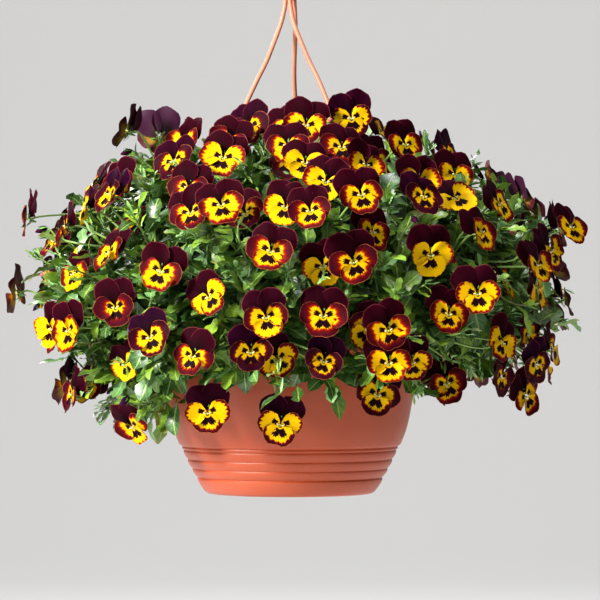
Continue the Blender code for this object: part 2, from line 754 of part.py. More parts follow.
def stalk_roots(sprays, bloom):
    """List places on the stems where a bloom's stalk may start, nearest first."""
    hook = bloom.centre - bloom.facing * STALK_HOOK
    roots = []
    for spray in sprays:
        for start, end in zip(spray.path[2:], spray.path[3:]):
            for share in STALK_SEATS:
                point = start.lerp(end, share)
                turn = (hook - point).normalized().dot(bloom.facing)
                if turn > STALK_LEAST_TURN and (hook - point).length > STALK_LEAST:
                    roots.append(((hook - point).length, spray, point))
    roots.sort(key=lambda root: root[0])
    return roots[:ROOT_TRIES]


def grow_blooms(sprays, blooms, thicket):
    """Join every bloom to the nearest stem that its stalk can reach without crossing anything."""
    for k, bloom in enumerate(blooms):
        thicket.add(f"head_{k}", head_mesh(bloom, CROSSING_MARGIN))
    grown = {spray.name: [] for spray in sprays}
    for k, bloom in enumerate(blooms):
        for _, spray, root in stalk_roots(sprays, bloom):
            stalk = stalk_mesh(bloom, root, CROSSING_MARGIN)
            if thicket.is_clear(stalk, spray.name, f"head_{k}"):
                thicket.add(spray.name, stalk)
                grown[spray.name].append(bloom_mesh(bloom, root))
                break
        else:
            print(f"bloom {k} finds no free way to a stem")
    return grown


def grow_leaves(sprays, thicket, grown):
    """Give every stem its large leaves, each in the first free direction found."""
    rng = random.Random(SEED + 1)
    for k, spray in enumerate(sprays):
        placed = 0
        for _ in range(LEAF_TRIES):
            if placed == LEAF_COUNTS[k % len(LEAF_COUNTS)]:
                break
            start, end = rng.choice(list(zip(spray.path[3:], spray.path[4:])))
            root = start.lerp(end, rng.uniform(*LEAF_SEATS))
            aim = direction(spray.azimuth + rng.uniform(-LEAF_TURN, LEAF_TURN), rng.uniform(*LEAF_ELEVATIONS))
            tip = root + aim * rng.uniform(*LEAF_LENGTHS)
            upper = Vector((rng.uniform(-LEAF_LEAN, LEAF_LEAN), rng.uniform(-LEAF_LEAN, LEAF_LEAN), 1.0))
            if thicket.is_clear(leaf_mesh(root, tip, upper, CROSSING_MARGIN), spray.name):
                thicket.add(spray.name, leaf_mesh(root, tip, upper, CROSSING_MARGIN))
                grown[spray.name].append(leaf_mesh(root, tip, upper))
                placed += 1


def head_mesh(bloom, margin):
    """Build only a bloom's petals, to test what crosses them."""
    return bloom_mesh(bloom, bloom.centre - bloom.facing * (STALK_HOOK + 2 * MM), margin)


def make_spray(shop, spray, meshes, material):
    """Fuse a stem with its blooms and leaves into one body."""
    body = shop.part(spray.name, stem_mesh(spray), material)
    pieces = shop.tool_set(f"pieces_{spray.name}")
    for mesh in meshes:
        shop.tool("piece", mesh, pieces)
    boolean(body, "UNION", pieces, "MANIFOLD")
    merge_flat(body)
    bpy.context.view_layer.update()
    body.data = evaluated_mesh(body)
    body.modifiers.clear()
    for piece in list(pieces.objects):
        bpy.data.objects.remove(piece)
    bpy.data.collections.remove(pieces)


def evaluated_mesh(obj):
    """Return a copy of an object's mesh as its modifiers leave it."""
    return bpy.data.meshes.new_from_object(obj.evaluated_get(bpy.context.evaluated_depsgraph_get()))


def main():
    """Build the whole basket."""
    shop = Workshop()
    terracotta = plain_material("terracotta_plastic", (0.58, 0.14, 0.06), 0.45)
    potting_mix = plain_material("potting_mix", (0.035, 0.02, 0.012), 0.95)
    greenery = plain_material("pansy_greenery", (0.12, 0.22, 0.05), 0.6)
    sprays = plan_sprays()
    make_soil(shop, potting_mix, sprays)
    fixed = [make_pot(shop, terracotta), make_hook(shop, terracotta)]
    fixed += [make_arm(shop, side, terracotta) for side in LUG_AZIMUTHS]
    bpy.context.view_layer.update()
    thicket = Thicket()
    for obj in fixed:
        thicket.add(obj.name, evaluated_mesh(obj))
    for spray in sprays:
        thicket.add(spray.name, stem_mesh(spray, CROSSING_MARGIN))
    grown = grow_blooms(sprays, place_blooms(), thicket)
    grow_leaves(sprays, thicket, grown)
    for spray in sprays:
        make_spray(shop, spray, grown[spray.name], greenery)


main()
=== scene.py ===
"""Dressing for the hanging basket of pansies: petals, leaves, stems, pot, soil and hanger.

Heights are measured from the pot's underside, as in the part's source, and each finished mesh is
set down to the frame's own height. The bloom layout repeats the source's seeded draw.
"""

import logging
import math
import random
from dataclasses import dataclass, field
from enum import Enum
from functools import cache

import bmesh
import bpy
import numpy as np
from mathutils import Matrix, Vector, noise


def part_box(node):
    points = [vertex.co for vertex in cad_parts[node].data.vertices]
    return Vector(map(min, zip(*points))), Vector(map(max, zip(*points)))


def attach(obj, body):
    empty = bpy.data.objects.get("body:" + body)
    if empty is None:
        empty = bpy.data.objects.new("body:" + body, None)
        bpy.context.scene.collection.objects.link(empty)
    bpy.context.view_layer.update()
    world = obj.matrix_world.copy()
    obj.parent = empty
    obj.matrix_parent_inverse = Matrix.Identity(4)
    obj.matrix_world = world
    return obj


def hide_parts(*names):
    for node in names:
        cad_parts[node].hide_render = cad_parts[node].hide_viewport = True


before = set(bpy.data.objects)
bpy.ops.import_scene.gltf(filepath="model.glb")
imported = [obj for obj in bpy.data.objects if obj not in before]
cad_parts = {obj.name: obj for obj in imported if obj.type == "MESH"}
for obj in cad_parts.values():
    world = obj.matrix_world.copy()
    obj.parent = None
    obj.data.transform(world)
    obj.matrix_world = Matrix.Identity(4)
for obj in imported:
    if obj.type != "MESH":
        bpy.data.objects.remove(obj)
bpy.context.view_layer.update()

LOG = logging.getLogger("pansy_basket")
MM = 0.001
BODY = "root"
UP = Vector((0, 0, 1))
POT_BASE_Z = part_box("pot")[0].z
POT_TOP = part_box("pot")[1].z - POT_BASE_Z
HOOK_SEAT = -POT_BASE_Z
SOIL_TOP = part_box("soil")[1].z - POT_BASE_Z
SEED = 7

Colour = tuple[float, float, float]
Point = tuple[float, float, float]
Pair = tuple[float, float]
Rows = tuple[Pair, ...]
Stops = tuple[tuple[float, Colour], ...]
Material = bpy.types.Material
Object = bpy.types.Object
Socket = bpy.types.NodeSocket
Shoot = tuple[Vector, Vector, Vector]


class Slot(Enum):
    """Material slots of the record."""

    POT = "terracotta_plastic"
    HANGER = "hanger_plastic"
    SOIL = "potting_mix"
    GREENERY = "pansy_greenery"
    PETALS = "pansy_petals"


class Petal(Enum):
    """Kinds of petal in one bloom."""

    UPPER = "upper"
    SIDE = "side"
    LOWER = "lower"


# ---------------- directions and curves


def polar(radius: float, azimuth: float, height: float, axis_x: float = 0.0) -> Vector:
    """Find a point from its radius, azimuth and height.

    Args:
        radius: Distance from the axis.
        azimuth: Degrees round the axis.
        height: Height above the pot's underside.
        axis_x: Where the axis stands on X.

    Returns:
        The point.
    """
    angle = math.radians(azimuth)
    return Vector((axis_x + radius * math.cos(angle), radius * math.sin(angle), height))


def direction(azimuth: float, elevation: float) -> Vector:
    """Return the unit vector of an azimuth and an elevation in degrees."""
    rise = math.radians(elevation)
    return polar(math.cos(rise), azimuth, math.sin(rise))


def strayed(aim: Vector, spread: float, rng: random.Random) -> Vector:
    """Return a direction that strays a little from another."""
    stray = Vector([rng.gauss(0, spread) for _ in range(3)])
    return (aim + stray).normalized()


def bezier(points: list[Vector], share: float) -> Vector:
    """Return a point on the curve that a list of control points pulls."""
    while len(points) > 1:
        points = [a.lerp(b, share) for a, b in zip(points, points[1:])]
    return points[0]


def smooth_path(points: list[Vector], steps: int) -> list[Vector]:
    """Round a path through its points.

    Args:
        points: The points that the path runs through.
        steps: New points from one old point to the next.

    Returns:
        The finer path.
    """
    padded = [points[0] * 2 - points[1], *points, points[-1] * 2 - points[-2]]
    path = []
    for a, b, c, d in zip(padded, padded[1:], padded[2:], padded[3:]):
        for step in range(steps):
            t = step / steps
            path.append(0.5 * (2 * b + (c - a) * t + (2 * a - 5 * b + 4 * c - d) * t ** 2
                               + (3 * b - a - 3 * c + d) * t ** 3))
    return [*path, points[-1]]


# ---------------- meshes


def show(obj: Object) -> Object:
    """Link an object to the scene and return it."""
    bpy.context.scene.collection.objects.link(obj)
    return obj


class Bench:
    """Collects closed shapes, with their materials and maps, into one piece."""

    MAPS = ("blade", "face", "tone")
    CREASE = 70                        # degrees from which an edge is drawn sharp

    def __init__(self, name: str) -> None:
        """Start an empty piece under a name."""
        self.name = name
        self.points: list[np.ndarray] = []
        self.maps: dict[str, list[np.ndarray]] = {key: [] for key in self.MAPS}
        self.faces: list[tuple[int, ...]] = []
        self.finish_of: list[int] = []
        self.finishes: list[Material] = []
        self.count = 0

    def _finish(self, material: Material) -> int:
        """Return the material's place in the piece, adding it at its first use."""
        if material not in self.finishes:
            self.finishes.append(material)
        return self.finishes.index(material)

    def _add(self, points: np.ndarray, blade: np.ndarray, face: np.ndarray, tone: Pair) -> int:
        """Add points with their map values, and return the first one's number.

        Args:
            points: The points.
            blade: Their place on their own blade or tube.
            face: Their place on the bloom's face.
            tone: Two values for the whole shape.

        Returns:
            The first point's number.
        """
        start = self.count
        self.points.append(points)
        self.maps["blade"].append(blade)
        self.maps["face"].append(face)
        self.maps["tone"].append(np.tile(tone, (len(points), 1)))
        self.count += len(points)
        return start

    def sheet(self, grid: np.ndarray, blade: np.ndarray, face: np.ndarray, thickness: float,
              tone: Pair, front: Material, back: Material) -> None:
        """Add a thin closed blade made from a grid of points; its two sides meet at its margin.

        Args:
            grid: Rows by columns of points on the front side.
            blade: The blade map's values at each point.
            face: The face map's values at each point.
            thickness: How thick the blade is inside its margin.
            tone: Two values that vary from one bloom or leaf to the next.
            front: The front side's material.
            back: The back side's material.
        """
        rows, columns = grid.shape[:2]
        normal = np.cross(np.gradient(grid, axis=1), np.gradient(grid, axis=0))
        normal /= np.linalg.norm(normal, axis=2, keepdims=True) + 1e-12
        inner = (slice(1, rows - 1), slice(1, columns - 1))
        under = (grid - normal * thickness)[inner].reshape(-1, 3)
        start = self._add(np.vstack([grid.reshape(-1, 3), under]),
                          np.vstack([blade.reshape(-1, 2), blade[inner].reshape(-1, 2)]),
                          np.vstack([face.reshape(-1, 2), face[inner].reshape(-1, 2)]), tone)
        upper = start + np.arange(rows * columns).reshape(rows, columns)
        lower = upper.copy()
        lower[inner] = start + rows * columns + np.arange(len(under)).reshape(rows - 2, columns - 2)
        sides = ((upper, False, self._finish(front)), (lower, True, self._finish(back)))
        for number, turned, finish in sides:
            corners = (number[:-1, :-1], number[:-1, 1:], number[1:, 1:], number[1:, :-1])
            quads = np.stack(corners[::-1] if turned else corners, axis=2).reshape(-1, 4)
            self.faces += [tuple(quad) for quad in quads.tolist()]
            self.finish_of += [finish] * len(quads)

    def tube(self, path: list[Vector], radii: list[float], sides: int,
             material: Material, tone: Pair = (0.5, 0.5)) -> None:
        """Add a closed tube along a path without twist.

        Args:
            path: The centre line.
            radii: The tube's radius at each point of the path.
            sides: How many sides the tube has.
            material: Its material.
            tone: Two values that vary from one tube to the next.
        """
        along = (path[1] - path[0]).normalized()
        across = along.orthogonal().normalized()
        ring_angles = [math.tau * k / sides for k in range(sides)]
        points, blade = [], []
        for k, point in enumerate(path):
            along = (path[min(k + 1, len(path) - 1)] - path[max(k - 1, 0)]).normalized()
            across = (across - along * across.dot(along)).normalized()
            side = along.cross(across)
            for angle in ring_angles:
                points.append(point + (across * math.cos(angle) + side * math.sin(angle)) * radii[k])
                blade.append((angle / math.tau, k / (len(path) - 1)))
        points += [path[0], path[-1]]
        blade += [(0.5, 0.0), (0.5, 1.0)]
        start = self._add(np.array(points), np.array(blade), np.zeros((len(points), 2)), tone)
        finish = self._finish(material)
        last = start + (len(path) - 1) * sides
        for j in range(sides):
            n = (j + 1) % sides
            for k in range(len(path) - 1):
                low, high = start + k * sides, start + (k + 1) * sides
                self.faces.append((low + j, low + n, high + n, high + j))
            self.faces.append((len(path) * sides + start, start + n, start + j))
            self.faces.append((len(path) * sides + start + 1, last + j, last + n))
        self.finish_of += [finish] * (sides * (len(path) + 1))

    def turned(self, profile: list[Pair], steps: int, material: Material) -> None:
        """Add a solid of revolution round Z.

        Args:
            profile: Radius and height from the axis on top, down the outside and back to the axis below.
            steps: Steps in one turn.
            material: Its material.
        """
        inner = profile[1:-1]
        points = [(0.0, 0.0, profile[0][1])]
        for radius, height in inner:
            for k in range(steps):
                angle = math.tau * k / steps
                points.append((radius * math.cos(angle), radius * math.sin(angle), height))
        points.append((0.0, 0.0, profile[-1][1]))
        flat = np.zeros((len(points), 2))
        start = self._add(np.array(points), flat, flat, (0.5, 0.5))
        end = start + len(points) - 1
        for k in range(steps):
            n = (k + 1) % steps
            self.faces.append((start, start + 1 + k, start + 1 + n))
            for ring in range(len(inner) - 1):
                high = start + 1 + ring * steps
                low = high + steps
                self.faces.append((high + k, low + k, low + n, high + n))
            last = start + 1 + (len(inner) - 1) * steps
            self.faces.append((end, last + n, last + k))
        self.finish_of += [self._finish(material)] * (steps * (len(inner) + 1))

    def build(self, slot: Slot, replaces: tuple[str, ...]) -> Object:
        """Make the piece's object, set it in the frame, and hide the CAD nodes that it stands for.

        Args:
            slot: Not used.
            replaces: The CAD nodes that it stands for.

        Returns:
            The finished object.
        """
        points = np.vstack(self.points) + np.array((0.0, 0.0, POT_BASE_Z))
        mesh = bpy.data.meshes.new(self.name)
        mesh.from_pydata(points.tolist(), [], self.faces)
        corners = np.empty(len(mesh.loops), np.int32)
        mesh.loops.foreach_get("vertex_index", corners)
        for key, values in self.maps.items():
            layer = mesh.uv_layers.new(name=key)
            layer.data.foreach_set("uv", np.vstack(values)[corners].astype(np.float32).ravel())
        for material in self.finishes:
            mesh.materials.append(material)
        mesh.polygons.foreach_set("material_index", self.finish_of)
        mesh.polygons.foreach_set("use_smooth", [True] * len(self.faces))
        mesh.update()
        mesh.set_sharp_from_angle(angle=math.radians(self.CREASE))
        piece = show(bpy.data.objects.new(self.name, mesh))
        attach(piece, BODY)
        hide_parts(*replaces)
        return piece


# ---------------- material nodes


class Nodes:
    """A material's node tree, with short ways to add and join its nodes."""

    def __init__(self, name: str) -> None:
        """Start a material with one Principled shader."""
        self.material = bpy.data.materials.new(name)
        self.material.use_nodes = True
        self.tree = self.material.node_tree
        self.shader = self.tree.nodes["Principled BSDF"]

    def join(self, value: object, socket: Socket) -> None:
        """Set a socket to a number or a colour, or link it to another socket."""
        if isinstance(value, Socket):
            self.tree.links.new(value, socket)
        elif isinstance(value, tuple) and len(value) == 3 and socket.type == "RGBA":
            socket.default_value = (*value, 1.0)
        else:
            socket.default_value = value

    def finish(self, sockets: dict[str, object]) -> Material:
        """Give the shader's named sockets their values or links, and return the material."""
        for name, value in sockets.items():
            self.join(value, self.shader.inputs[name])
        return self.material

    def math(self, operation: str, *values: object, clamp: bool = False) -> Socket:
        """Add a Math node and return its result.

        Args:
            operation: The node's operation.
            values: Numbers or sockets.
            clamp: Whether the result stays from 0 to 1.

        Returns:
            Its result.
        """
        node = self.tree.nodes.new("ShaderNodeMath")
        node.operation = operation
        node.use_clamp = clamp
        for value, socket in zip(values, node.inputs):
            self.join(value, socket)
        return node.outputs[0]

    def times(self, first: object, second: object, clamp: bool = False) -> Socket:
        """Return the product of two numbers."""
        return self.math("MULTIPLY", first, second, clamp=clamp)

    def plus(self, first: object, second: object, clamp: bool = False) -> Socket:
        """Return the sum of two numbers."""
        return self.math("ADD", first, second, clamp=clamp)

    def minus(self, first: object, second: object) -> Socket:
        """Return the difference of two numbers."""
        return self.math("SUBTRACT", first, second)

    def mix(self, share: object, first: object, second: object) -> Socket:
        """Mix two colours and return the result."""
        node = self.tree.nodes.new("ShaderNodeMix")
        node.data_type = "RGBA"
        self.join(share, node.inputs["Factor"])
        self.join(first, node.inputs[6])
        self.join(second, node.inputs[7])
        return node.outputs[2]

    def step(self, value: object, start: float, end: float) -> Socket:
        """Return 0 before start and 1 after end, with a soft change between."""
        node = self.tree.nodes.new("ShaderNodeMapRange")
        node.interpolation_type = "SMOOTHSTEP"
        for content, socket in zip((value, start, end, 0.0, 1.0), node.inputs):
            self.join(content, socket)
        return node.outputs[0]

    def between(self, share: object, low: float, high: float) -> Socket:
        """Return a number from low to high by a share."""
        return self.math("MULTIPLY_ADD", share, high - low, low)

    def pair(self, name: str) -> tuple[Socket, Socket]:
        """Return the two values of one of the piece's maps."""
        node = self.tree.nodes.new("ShaderNodeUVMap")
        node.uv_map = name
        split = self.tree.nodes.new("ShaderNodeSeparateXYZ")
        self.join(node.outputs[0], split.inputs[0])
        return split.outputs[0], split.outputs[1]

    def place(self) -> Socket:
        """Return the point on the piece, in metres."""
        return self.tree.nodes.new("ShaderNodeTexCoord").outputs["Object"]

    def vector(self, x: object, y: object, z: object = 0.0) -> Socket:
        """Return a vector made of three numbers."""
        node = self.tree.nodes.new("ShaderNodeCombineXYZ")
        for value, socket in zip((x, y, z), node.inputs):
            self.join(value, socket)
        return node.outputs[0]

    def noise(self, place: object, scale: float, detail: float = 3.0) -> Socket:
        """Return a noise value round 0.5 at a place.

        Args:
            place: The point to look at.
            scale: How fine the noise is.
            detail: How rough.

        Returns:
            The value.
        """
        node = self.tree.nodes.new("ShaderNodeTexNoise")
        self.join(place, node.inputs["Vector"])
        node.inputs["Scale"].default_value = scale
        node.inputs["Detail"].default_value = detail
        return node.outputs[0]

    def streaks(self, across: object, pitch: float, out: object, seed: object,
                detail: float = 4.0) -> Socket:
        """Return a noise that is drawn out along a petal."""
        return self.noise(self.vector(self.times(across, pitch), out, seed), 1.0, detail)

    def ramp(self, value: object, stops: Stops) -> Socket:
        """Return the colour that a value has on a scale of colours.

        Args:
            value: The value, from 0 to 1.
            stops: Each colour with its place on the scale.

        Returns:
            The colour.
        """
        node = self.tree.nodes.new("ShaderNodeValToRGB")
        self.join(value, node.inputs[0])
        elements = node.color_ramp.elements
        while len(elements) < len(stops):
            elements.new(1.0)
        for element, (position, colour) in zip(elements, stops):
            element.position = position
            element.color = (*colour, 1.0)
        return node.outputs[0]

    def bump(self, height: object, strength: float, distance: float) -> None:
        """Let a height shape the shader's surface.

        Args:
            height: The height's socket.
            strength: How strongly it counts, up to 1.
            distance: How high it is, in metres.
        """
        node = self.tree.nodes.new("ShaderNodeBump")
        node.inputs["Strength"].default_value = strength
        node.inputs["Distance"].default_value = distance
        self.join(height, node.inputs["Height"])
        self.join(node.outputs[0], self.shader.inputs["Normal"])


@dataclass(frozen=True)
class MouldedPlastic:
    """Satin moulded plastic with a fine grain, faint scuffs and dusty marks."""

    name: str
    colour: Colour
    pale: Colour
    roughness: float = 0.42
    speck_share: float = 0.5
    clouds: float = 14.0               # how fine the clouds, specks, scuffs and grain are
    specks: float = 320.0
    scuffs: float = 60.0
    grain: float = 900.0

    def build(self) -> Material:
        """Return the plastic's material."""
        nodes = Nodes(self.name)
        place = nodes.place()
        cloud = nodes.step(nodes.noise(place, self.clouds, 5.0), 0.35, 0.75)
        colour = nodes.mix(nodes.times(cloud, 0.35), self.colour, self.pale)
        specks = nodes.step(nodes.noise(place, self.specks, 2.0), 0.72, 0.78)
        colour = nodes.mix(nodes.times(specks, self.speck_share), colour,
                           tuple(0.45 * channel for channel in self.colour))
        scuff = nodes.noise(place, self.scuffs, 6.0)
        roughness = nodes.between(scuff, self.roughness - 0.06, self.roughness + 0.1)
        nodes.bump(nodes.noise(place, self.grain, 2.0), 0.12, 0.0004)
        return nodes.finish({"Base Color": colour, "Roughness": roughness, "IOR": 1.47})


@dataclass(frozen=True)
class VelvetPetal:
    """An upper petal: velvety burgundy to near-black purple with a fine lighter rim."""

    name: str = "upper_petal_velvet"
    heart: Colour = (0.005, 0.0003, 0.0015)
    burgundy: Colour = (0.033, 0.0004, 0.0056)
    purple: Colour = (0.020, 0.0004, 0.0130)
    rim: Colour = (0.20, 0.03, 0.04)
    streaks: float = 26.0

    def build(self) -> Material:
        """Return the petal's material."""
        nodes = Nodes(self.name)
        across, out = nodes.pair("blade")
        _, warmth = nodes.pair("tone")
        body = nodes.mix(nodes.step(warmth, 0.1, 0.55), self.purple, self.burgundy)
        streak = nodes.streaks(across, self.streaks, out, warmth)
        body = nodes.mix(nodes.step(streak, 0.3, 0.8), nodes.mix(0.5, body, self.heart), body)
        colour = nodes.mix(nodes.step(out, 0.15, 0.95), self.heart, body)
        colour = nodes.mix(nodes.times(nodes.step(out, 0.96, 1.0), 0.7), colour, self.rim)
        nodes.bump(streak, 0.25, 0.0006)
        return nodes.finish({"Base Color": colour, "Roughness": 0.62, "Sheen Weight": 0.015,
                             "Sheen Roughness": 0.4, "Sheen Tint": (0.6, 0.10, 0.35, 1.0),
                             "Specular IOR Level": 0.02})


@dataclass(frozen=True)
class FacePetal:
    """A side or lower petal: yellow with dark blotches and whiskers, then red and a maroon margin."""

    kind: Petal
    least_yellow: float
    most_yellow: float
    petal_length: float
    patch_turn: float                  # middle of the dark patch, in degrees above the level
    patch_width: float                 # half its width at the throat, and how fast it widens
    patch_flare: float
    patch_start: float                 # its ends, from the throat
    patch_end: float
    throat_y: float
    face_span: float
    notch: float = 0.0                 # how deep the patch's far end is notched
    notch_width: float = 16.0
    whisker: float = 0.04              # length of the whiskers at its far end
    whisker_pitch: float = 11.0
    yellow: Colour = (0.76, 0.44, 0.001)
    dark: Colour = (0.010, 0.0008, 0.003)
    edge: Colour = (0.55, 0.13, 0.03)
    throat: Colour = (0.62, 0.50, 0.04)
    throat_heart: Colour = (0.22, 0.30, 0.02)
    # past the yellow: the colours of a red bloom and of a purple one, each with where it is full
    reds: Stops = (
        (0.06, (0.76, 0.22, 0.0)), (0.16, (0.34, 0.018, 0.002)), (0.42, (0.10, 0.002, 0.003)),
        (1.0, (0.040, 0.001, 0.006)),
    )
    purples: Stops = (
        (0.05, (0.66, 0.16, 0.0)), (0.12, (0.16, 0.007, 0.003)), (0.32, (0.042, 0.001, 0.003)),
        (1.0, (0.024, 0.001, 0.009)),
    )
    # where the yellow ends: how ragged that line is, how far in it lies and how quickly it changes
    fine_ragged: float = 0.40
    broad_ragged: float = 0.28
    margin_share: float = 0.4
    setback: float = 0.34
    quickness: float = 2.8
    # how fine the ridges, the streaks and the patch's outline are
    ridges: float = 30.0
    streaks: float = 22.0
    broad_streaks: float = 4.0
    patch_grain: float = 14.0
    # how far the patch's ends and flanks wander, and half the width over which each fades
    end_wander: float = 0.06
    end_fade: float = 0.016
    start_fade: float = 0.02
    flank_wander: float = 0.10
    flank_fade: float = 0.012

    def build(self) -> Material:
        """Return the petal's material."""
        nodes = Nodes(f"{self.kind.value}_petal_face")
        across, out = nodes.pair("blade")
        size, warmth = nodes.pair("tone")
        face_x, face_y = nodes.pair("face")
        x = nodes.math("ABSOLUTE", nodes.between(face_x, -self.face_span, self.face_span))
        y = nodes.minus(nodes.between(face_y, -self.face_span, self.face_span), self.throat_y)
        reach = nodes.math("SQRT", nodes.plus(nodes.times(x, x), nodes.times(y, y)))
        colour = self._ground(nodes, across, out, reach, size, warmth)
        dark = self._markings(nodes, x, y, reach, size)
        colour = nodes.mix(dark, colour, self.dark)
        colour = nodes.mix(nodes.step(reach, 0.10, 0.03), colour, self.throat)
        colour = nodes.mix(nodes.step(reach, 0.055, 0.03), colour, self.throat_heart)
        ridges = nodes.streaks(across, self.ridges, out, warmth, 3.0)
        nodes.bump(ridges, 0.25, 0.0006)
        return nodes.finish({"Base Color": colour, "Roughness": 0.58, "Specular IOR Level": 0.04})

    def _ground(self, nodes: Nodes, across: object, out: object, reach: object, size: object,
                warmth: object) -> Socket:
        """Paint the petal from its yellow heart to its maroon margin and fine pale edge.

        Args:
            nodes: The material's tree.
            across: Share across the petal.
            out: Share from the petal's base to its margin.
            reach: Distance from the throat, in bloom radii.
            size: The bloom's share of yellow.
            warmth: The bloom's place between purple and red.

        Returns:
            The colour before the dark markings.
        """
        extent = nodes.between(size, self.least_yellow, self.most_yellow)
        fine = nodes.streaks(across, self.streaks, out, size)
        broad = nodes.streaks(across, self.broad_streaks, size, warmth, 1.0)
        ragged = nodes.plus(nodes.times(fine, self.fine_ragged), nodes.times(broad, self.broad_ragged))
        far = nodes.plus(nodes.times(out, self.margin_share),
                         nodes.times(reach, (1 - self.margin_share) / self.petal_length))
        place = nodes.minus(nodes.plus(far, ragged), nodes.plus(extent, self.setback))
        t = nodes.times(place, self.quickness, clamp=True)
        red = nodes.ramp(t, ((0.0, self.yellow), *self.reds))
        purple = nodes.ramp(t, ((0.0, self.yellow), *self.purples))
        colour = nodes.mix(nodes.step(warmth, 0.25, 0.75), purple, red)
        rim = nodes.times(nodes.step(out, 0.97, 1.0), nodes.step(reach, 0.25, 0.6))
        return nodes.mix(nodes.times(rim, nodes.step(fine, 0.3, 0.6)), colour, self.edge)

    def _markings(self, nodes: Nodes, x: object, y: object, reach: object,
                  size: object) -> Socket:
        """Paint the dark patch that fans out from the throat and ends in whiskers.

        Args:
            nodes: The material's tree.
            x: Distance from the bloom's middle line, in bloom radii.
            y: Height above the throat, in bloom radii.
            reach: Distance from the throat, in bloom radii.
            size: The bloom's share of yellow.

        Returns:
            The share of dark colour.
        """
        turn = nodes.math("DEGREES", nodes.math("ARCTAN2", y, x))
        aside = nodes.math("ABSOLUTE", nodes.minus(turn, self.patch_turn))
        grain = nodes.vector(nodes.times(x, self.patch_grain), nodes.times(y, self.patch_grain), size)
        rough = nodes.noise(grain, 1.0, 2.0)
        whisker = nodes.math("SINE", nodes.times(turn, math.tau / self.whisker_pitch))
        sideways = nodes.times(reach, nodes.math("SINE", nodes.math("RADIANS", aside)))
        notch = nodes.times(nodes.step(aside, self.notch_width, 0.0), self.notch)
        end = nodes.between(rough, self.patch_end - self.end_wander, self.patch_end + self.end_wander)
        end = nodes.minus(nodes.plus(nodes.times(whisker, self.whisker), end), notch)
        inside = nodes.step(nodes.minus(reach, end), self.end_fade, -self.end_fade)
        outside = nodes.step(reach, self.patch_start - self.start_fade, self.patch_start + self.start_fade)
        wide = nodes.minus(sideways, nodes.times(reach, self.patch_flare))
        wide = nodes.plus(wide, nodes.times(nodes.minus(rough, 0.5), self.flank_wander))
        flank = nodes.step(wide, self.patch_width + self.flank_fade, self.patch_width - self.flank_fade)
        return nodes.times(nodes.times(inside, outside), flank)


@dataclass(frozen=True)
class PetalBack:
    """The back of a petal: dull lilac purple, with yellow showing through near its base."""

    name: str
    base: Colour
    margin: Colour
    change: float = 0.55               # where one colour gives way to the other
    vein: Colour = (0.02, 0.002, 0.012)
    veins: float = 28.0

    def build(self) -> Material:
        """Return the back's material."""
        nodes = Nodes(self.name)
        across, out = nodes.pair("blade")
        _, warmth = nodes.pair("tone")
        vein = nodes.streaks(across, self.veins, out, warmth)
        share = nodes.plus(out, nodes.times(nodes.minus(vein, 0.5), 0.5))
        colour = nodes.mix(nodes.step(share, self.change - 0.2, self.change + 0.2), self.base, self.margin)
        colour = nodes.mix(nodes.times(nodes.step(vein, 0.5, 0.7), 0.3), colour, self.vein)
        nodes.bump(vein, 0.3, 0.0006)
        return nodes.finish({"Base Color": colour, "Roughness": 0.5, "Specular IOR Level": 0.25})


@dataclass(frozen=True)
class LeafSkin:
    """A leaf's skin: green with paler veins, lighter where it is young and darker on the old leaves deep in
    the mound, a darkness that is partly their age and partly painted shade.
    """

    name: str
    # the darkest green: old leaves, and painted shade on the leaves deep in the mound
    old_and_shaded: Colour
    bright: Colour
    vein: Colour
    # a pale blue-green: partly the leaf's waxy bloom, partly a painted reflection of the sky
    glaucous_and_sky_sheen: Colour
    roughness: float
    wither: Colour = (0.30, 0.26, 0.05)
    clouds: float = 70.0
    rib_pitch: float = 44.0
    rib_slant: float = 0.22

    def build(self) -> Material:
        """Return the leaf's material."""
        nodes = Nodes(self.name)
        across, along = nodes.pair("blade")
        # the tone's first value is the leaf's youth, kept low deep in the mound so that those leaves are
        # painted darker as shade
        young, patch = nodes.pair("tone")
        side = nodes.math("ABSOLUTE", nodes.between(across, -1.0, 1.0))
        cloud = nodes.noise(nodes.place(), self.clouds, 3.0)
        share = nodes.plus(nodes.times(young, 0.85), nodes.times(nodes.minus(cloud, 0.5), 0.8), clamp=True)
        # a share of the leaves turns pale blue-green, partly waxy bloom and partly painted sky reflection
        waxy_and_sheen = nodes.step(patch, 0.45, 0.25)
        colour = nodes.mix(share, self.old_and_shaded, nodes.mix(waxy_and_sheen, self.bright, self.glaucous_and_sky_sheen))
        slanted = nodes.minus(along, nodes.times(side, self.rib_slant))
        rib = nodes.math("SINE", nodes.times(slanted, self.rib_pitch))
        ribs = nodes.times(nodes.step(rib, 0.72, 0.98), nodes.step(side, 0.95, 0.5))
        middle = nodes.step(side, 0.14, 0.04)
        veins = nodes.math("MAXIMUM", middle, nodes.times(ribs, 0.35))
        colour = nodes.mix(nodes.times(veins, 0.55), colour, self.vein)
        withered = nodes.times(nodes.step(patch, 0.9, 1.0), nodes.step(along, 0.75, 1.0))
        colour = nodes.mix(withered, colour, self.wither)
        nodes.bump(nodes.minus(cloud, nodes.times(veins, 0.6)), 0.4, 0.0008)
        roughness = nodes.between(cloud, self.roughness - 0.08, self.roughness + 0.12)
        return nodes.finish({"Base Color": colour, "Roughness": roughness, "Specular IOR Level": 0.55})


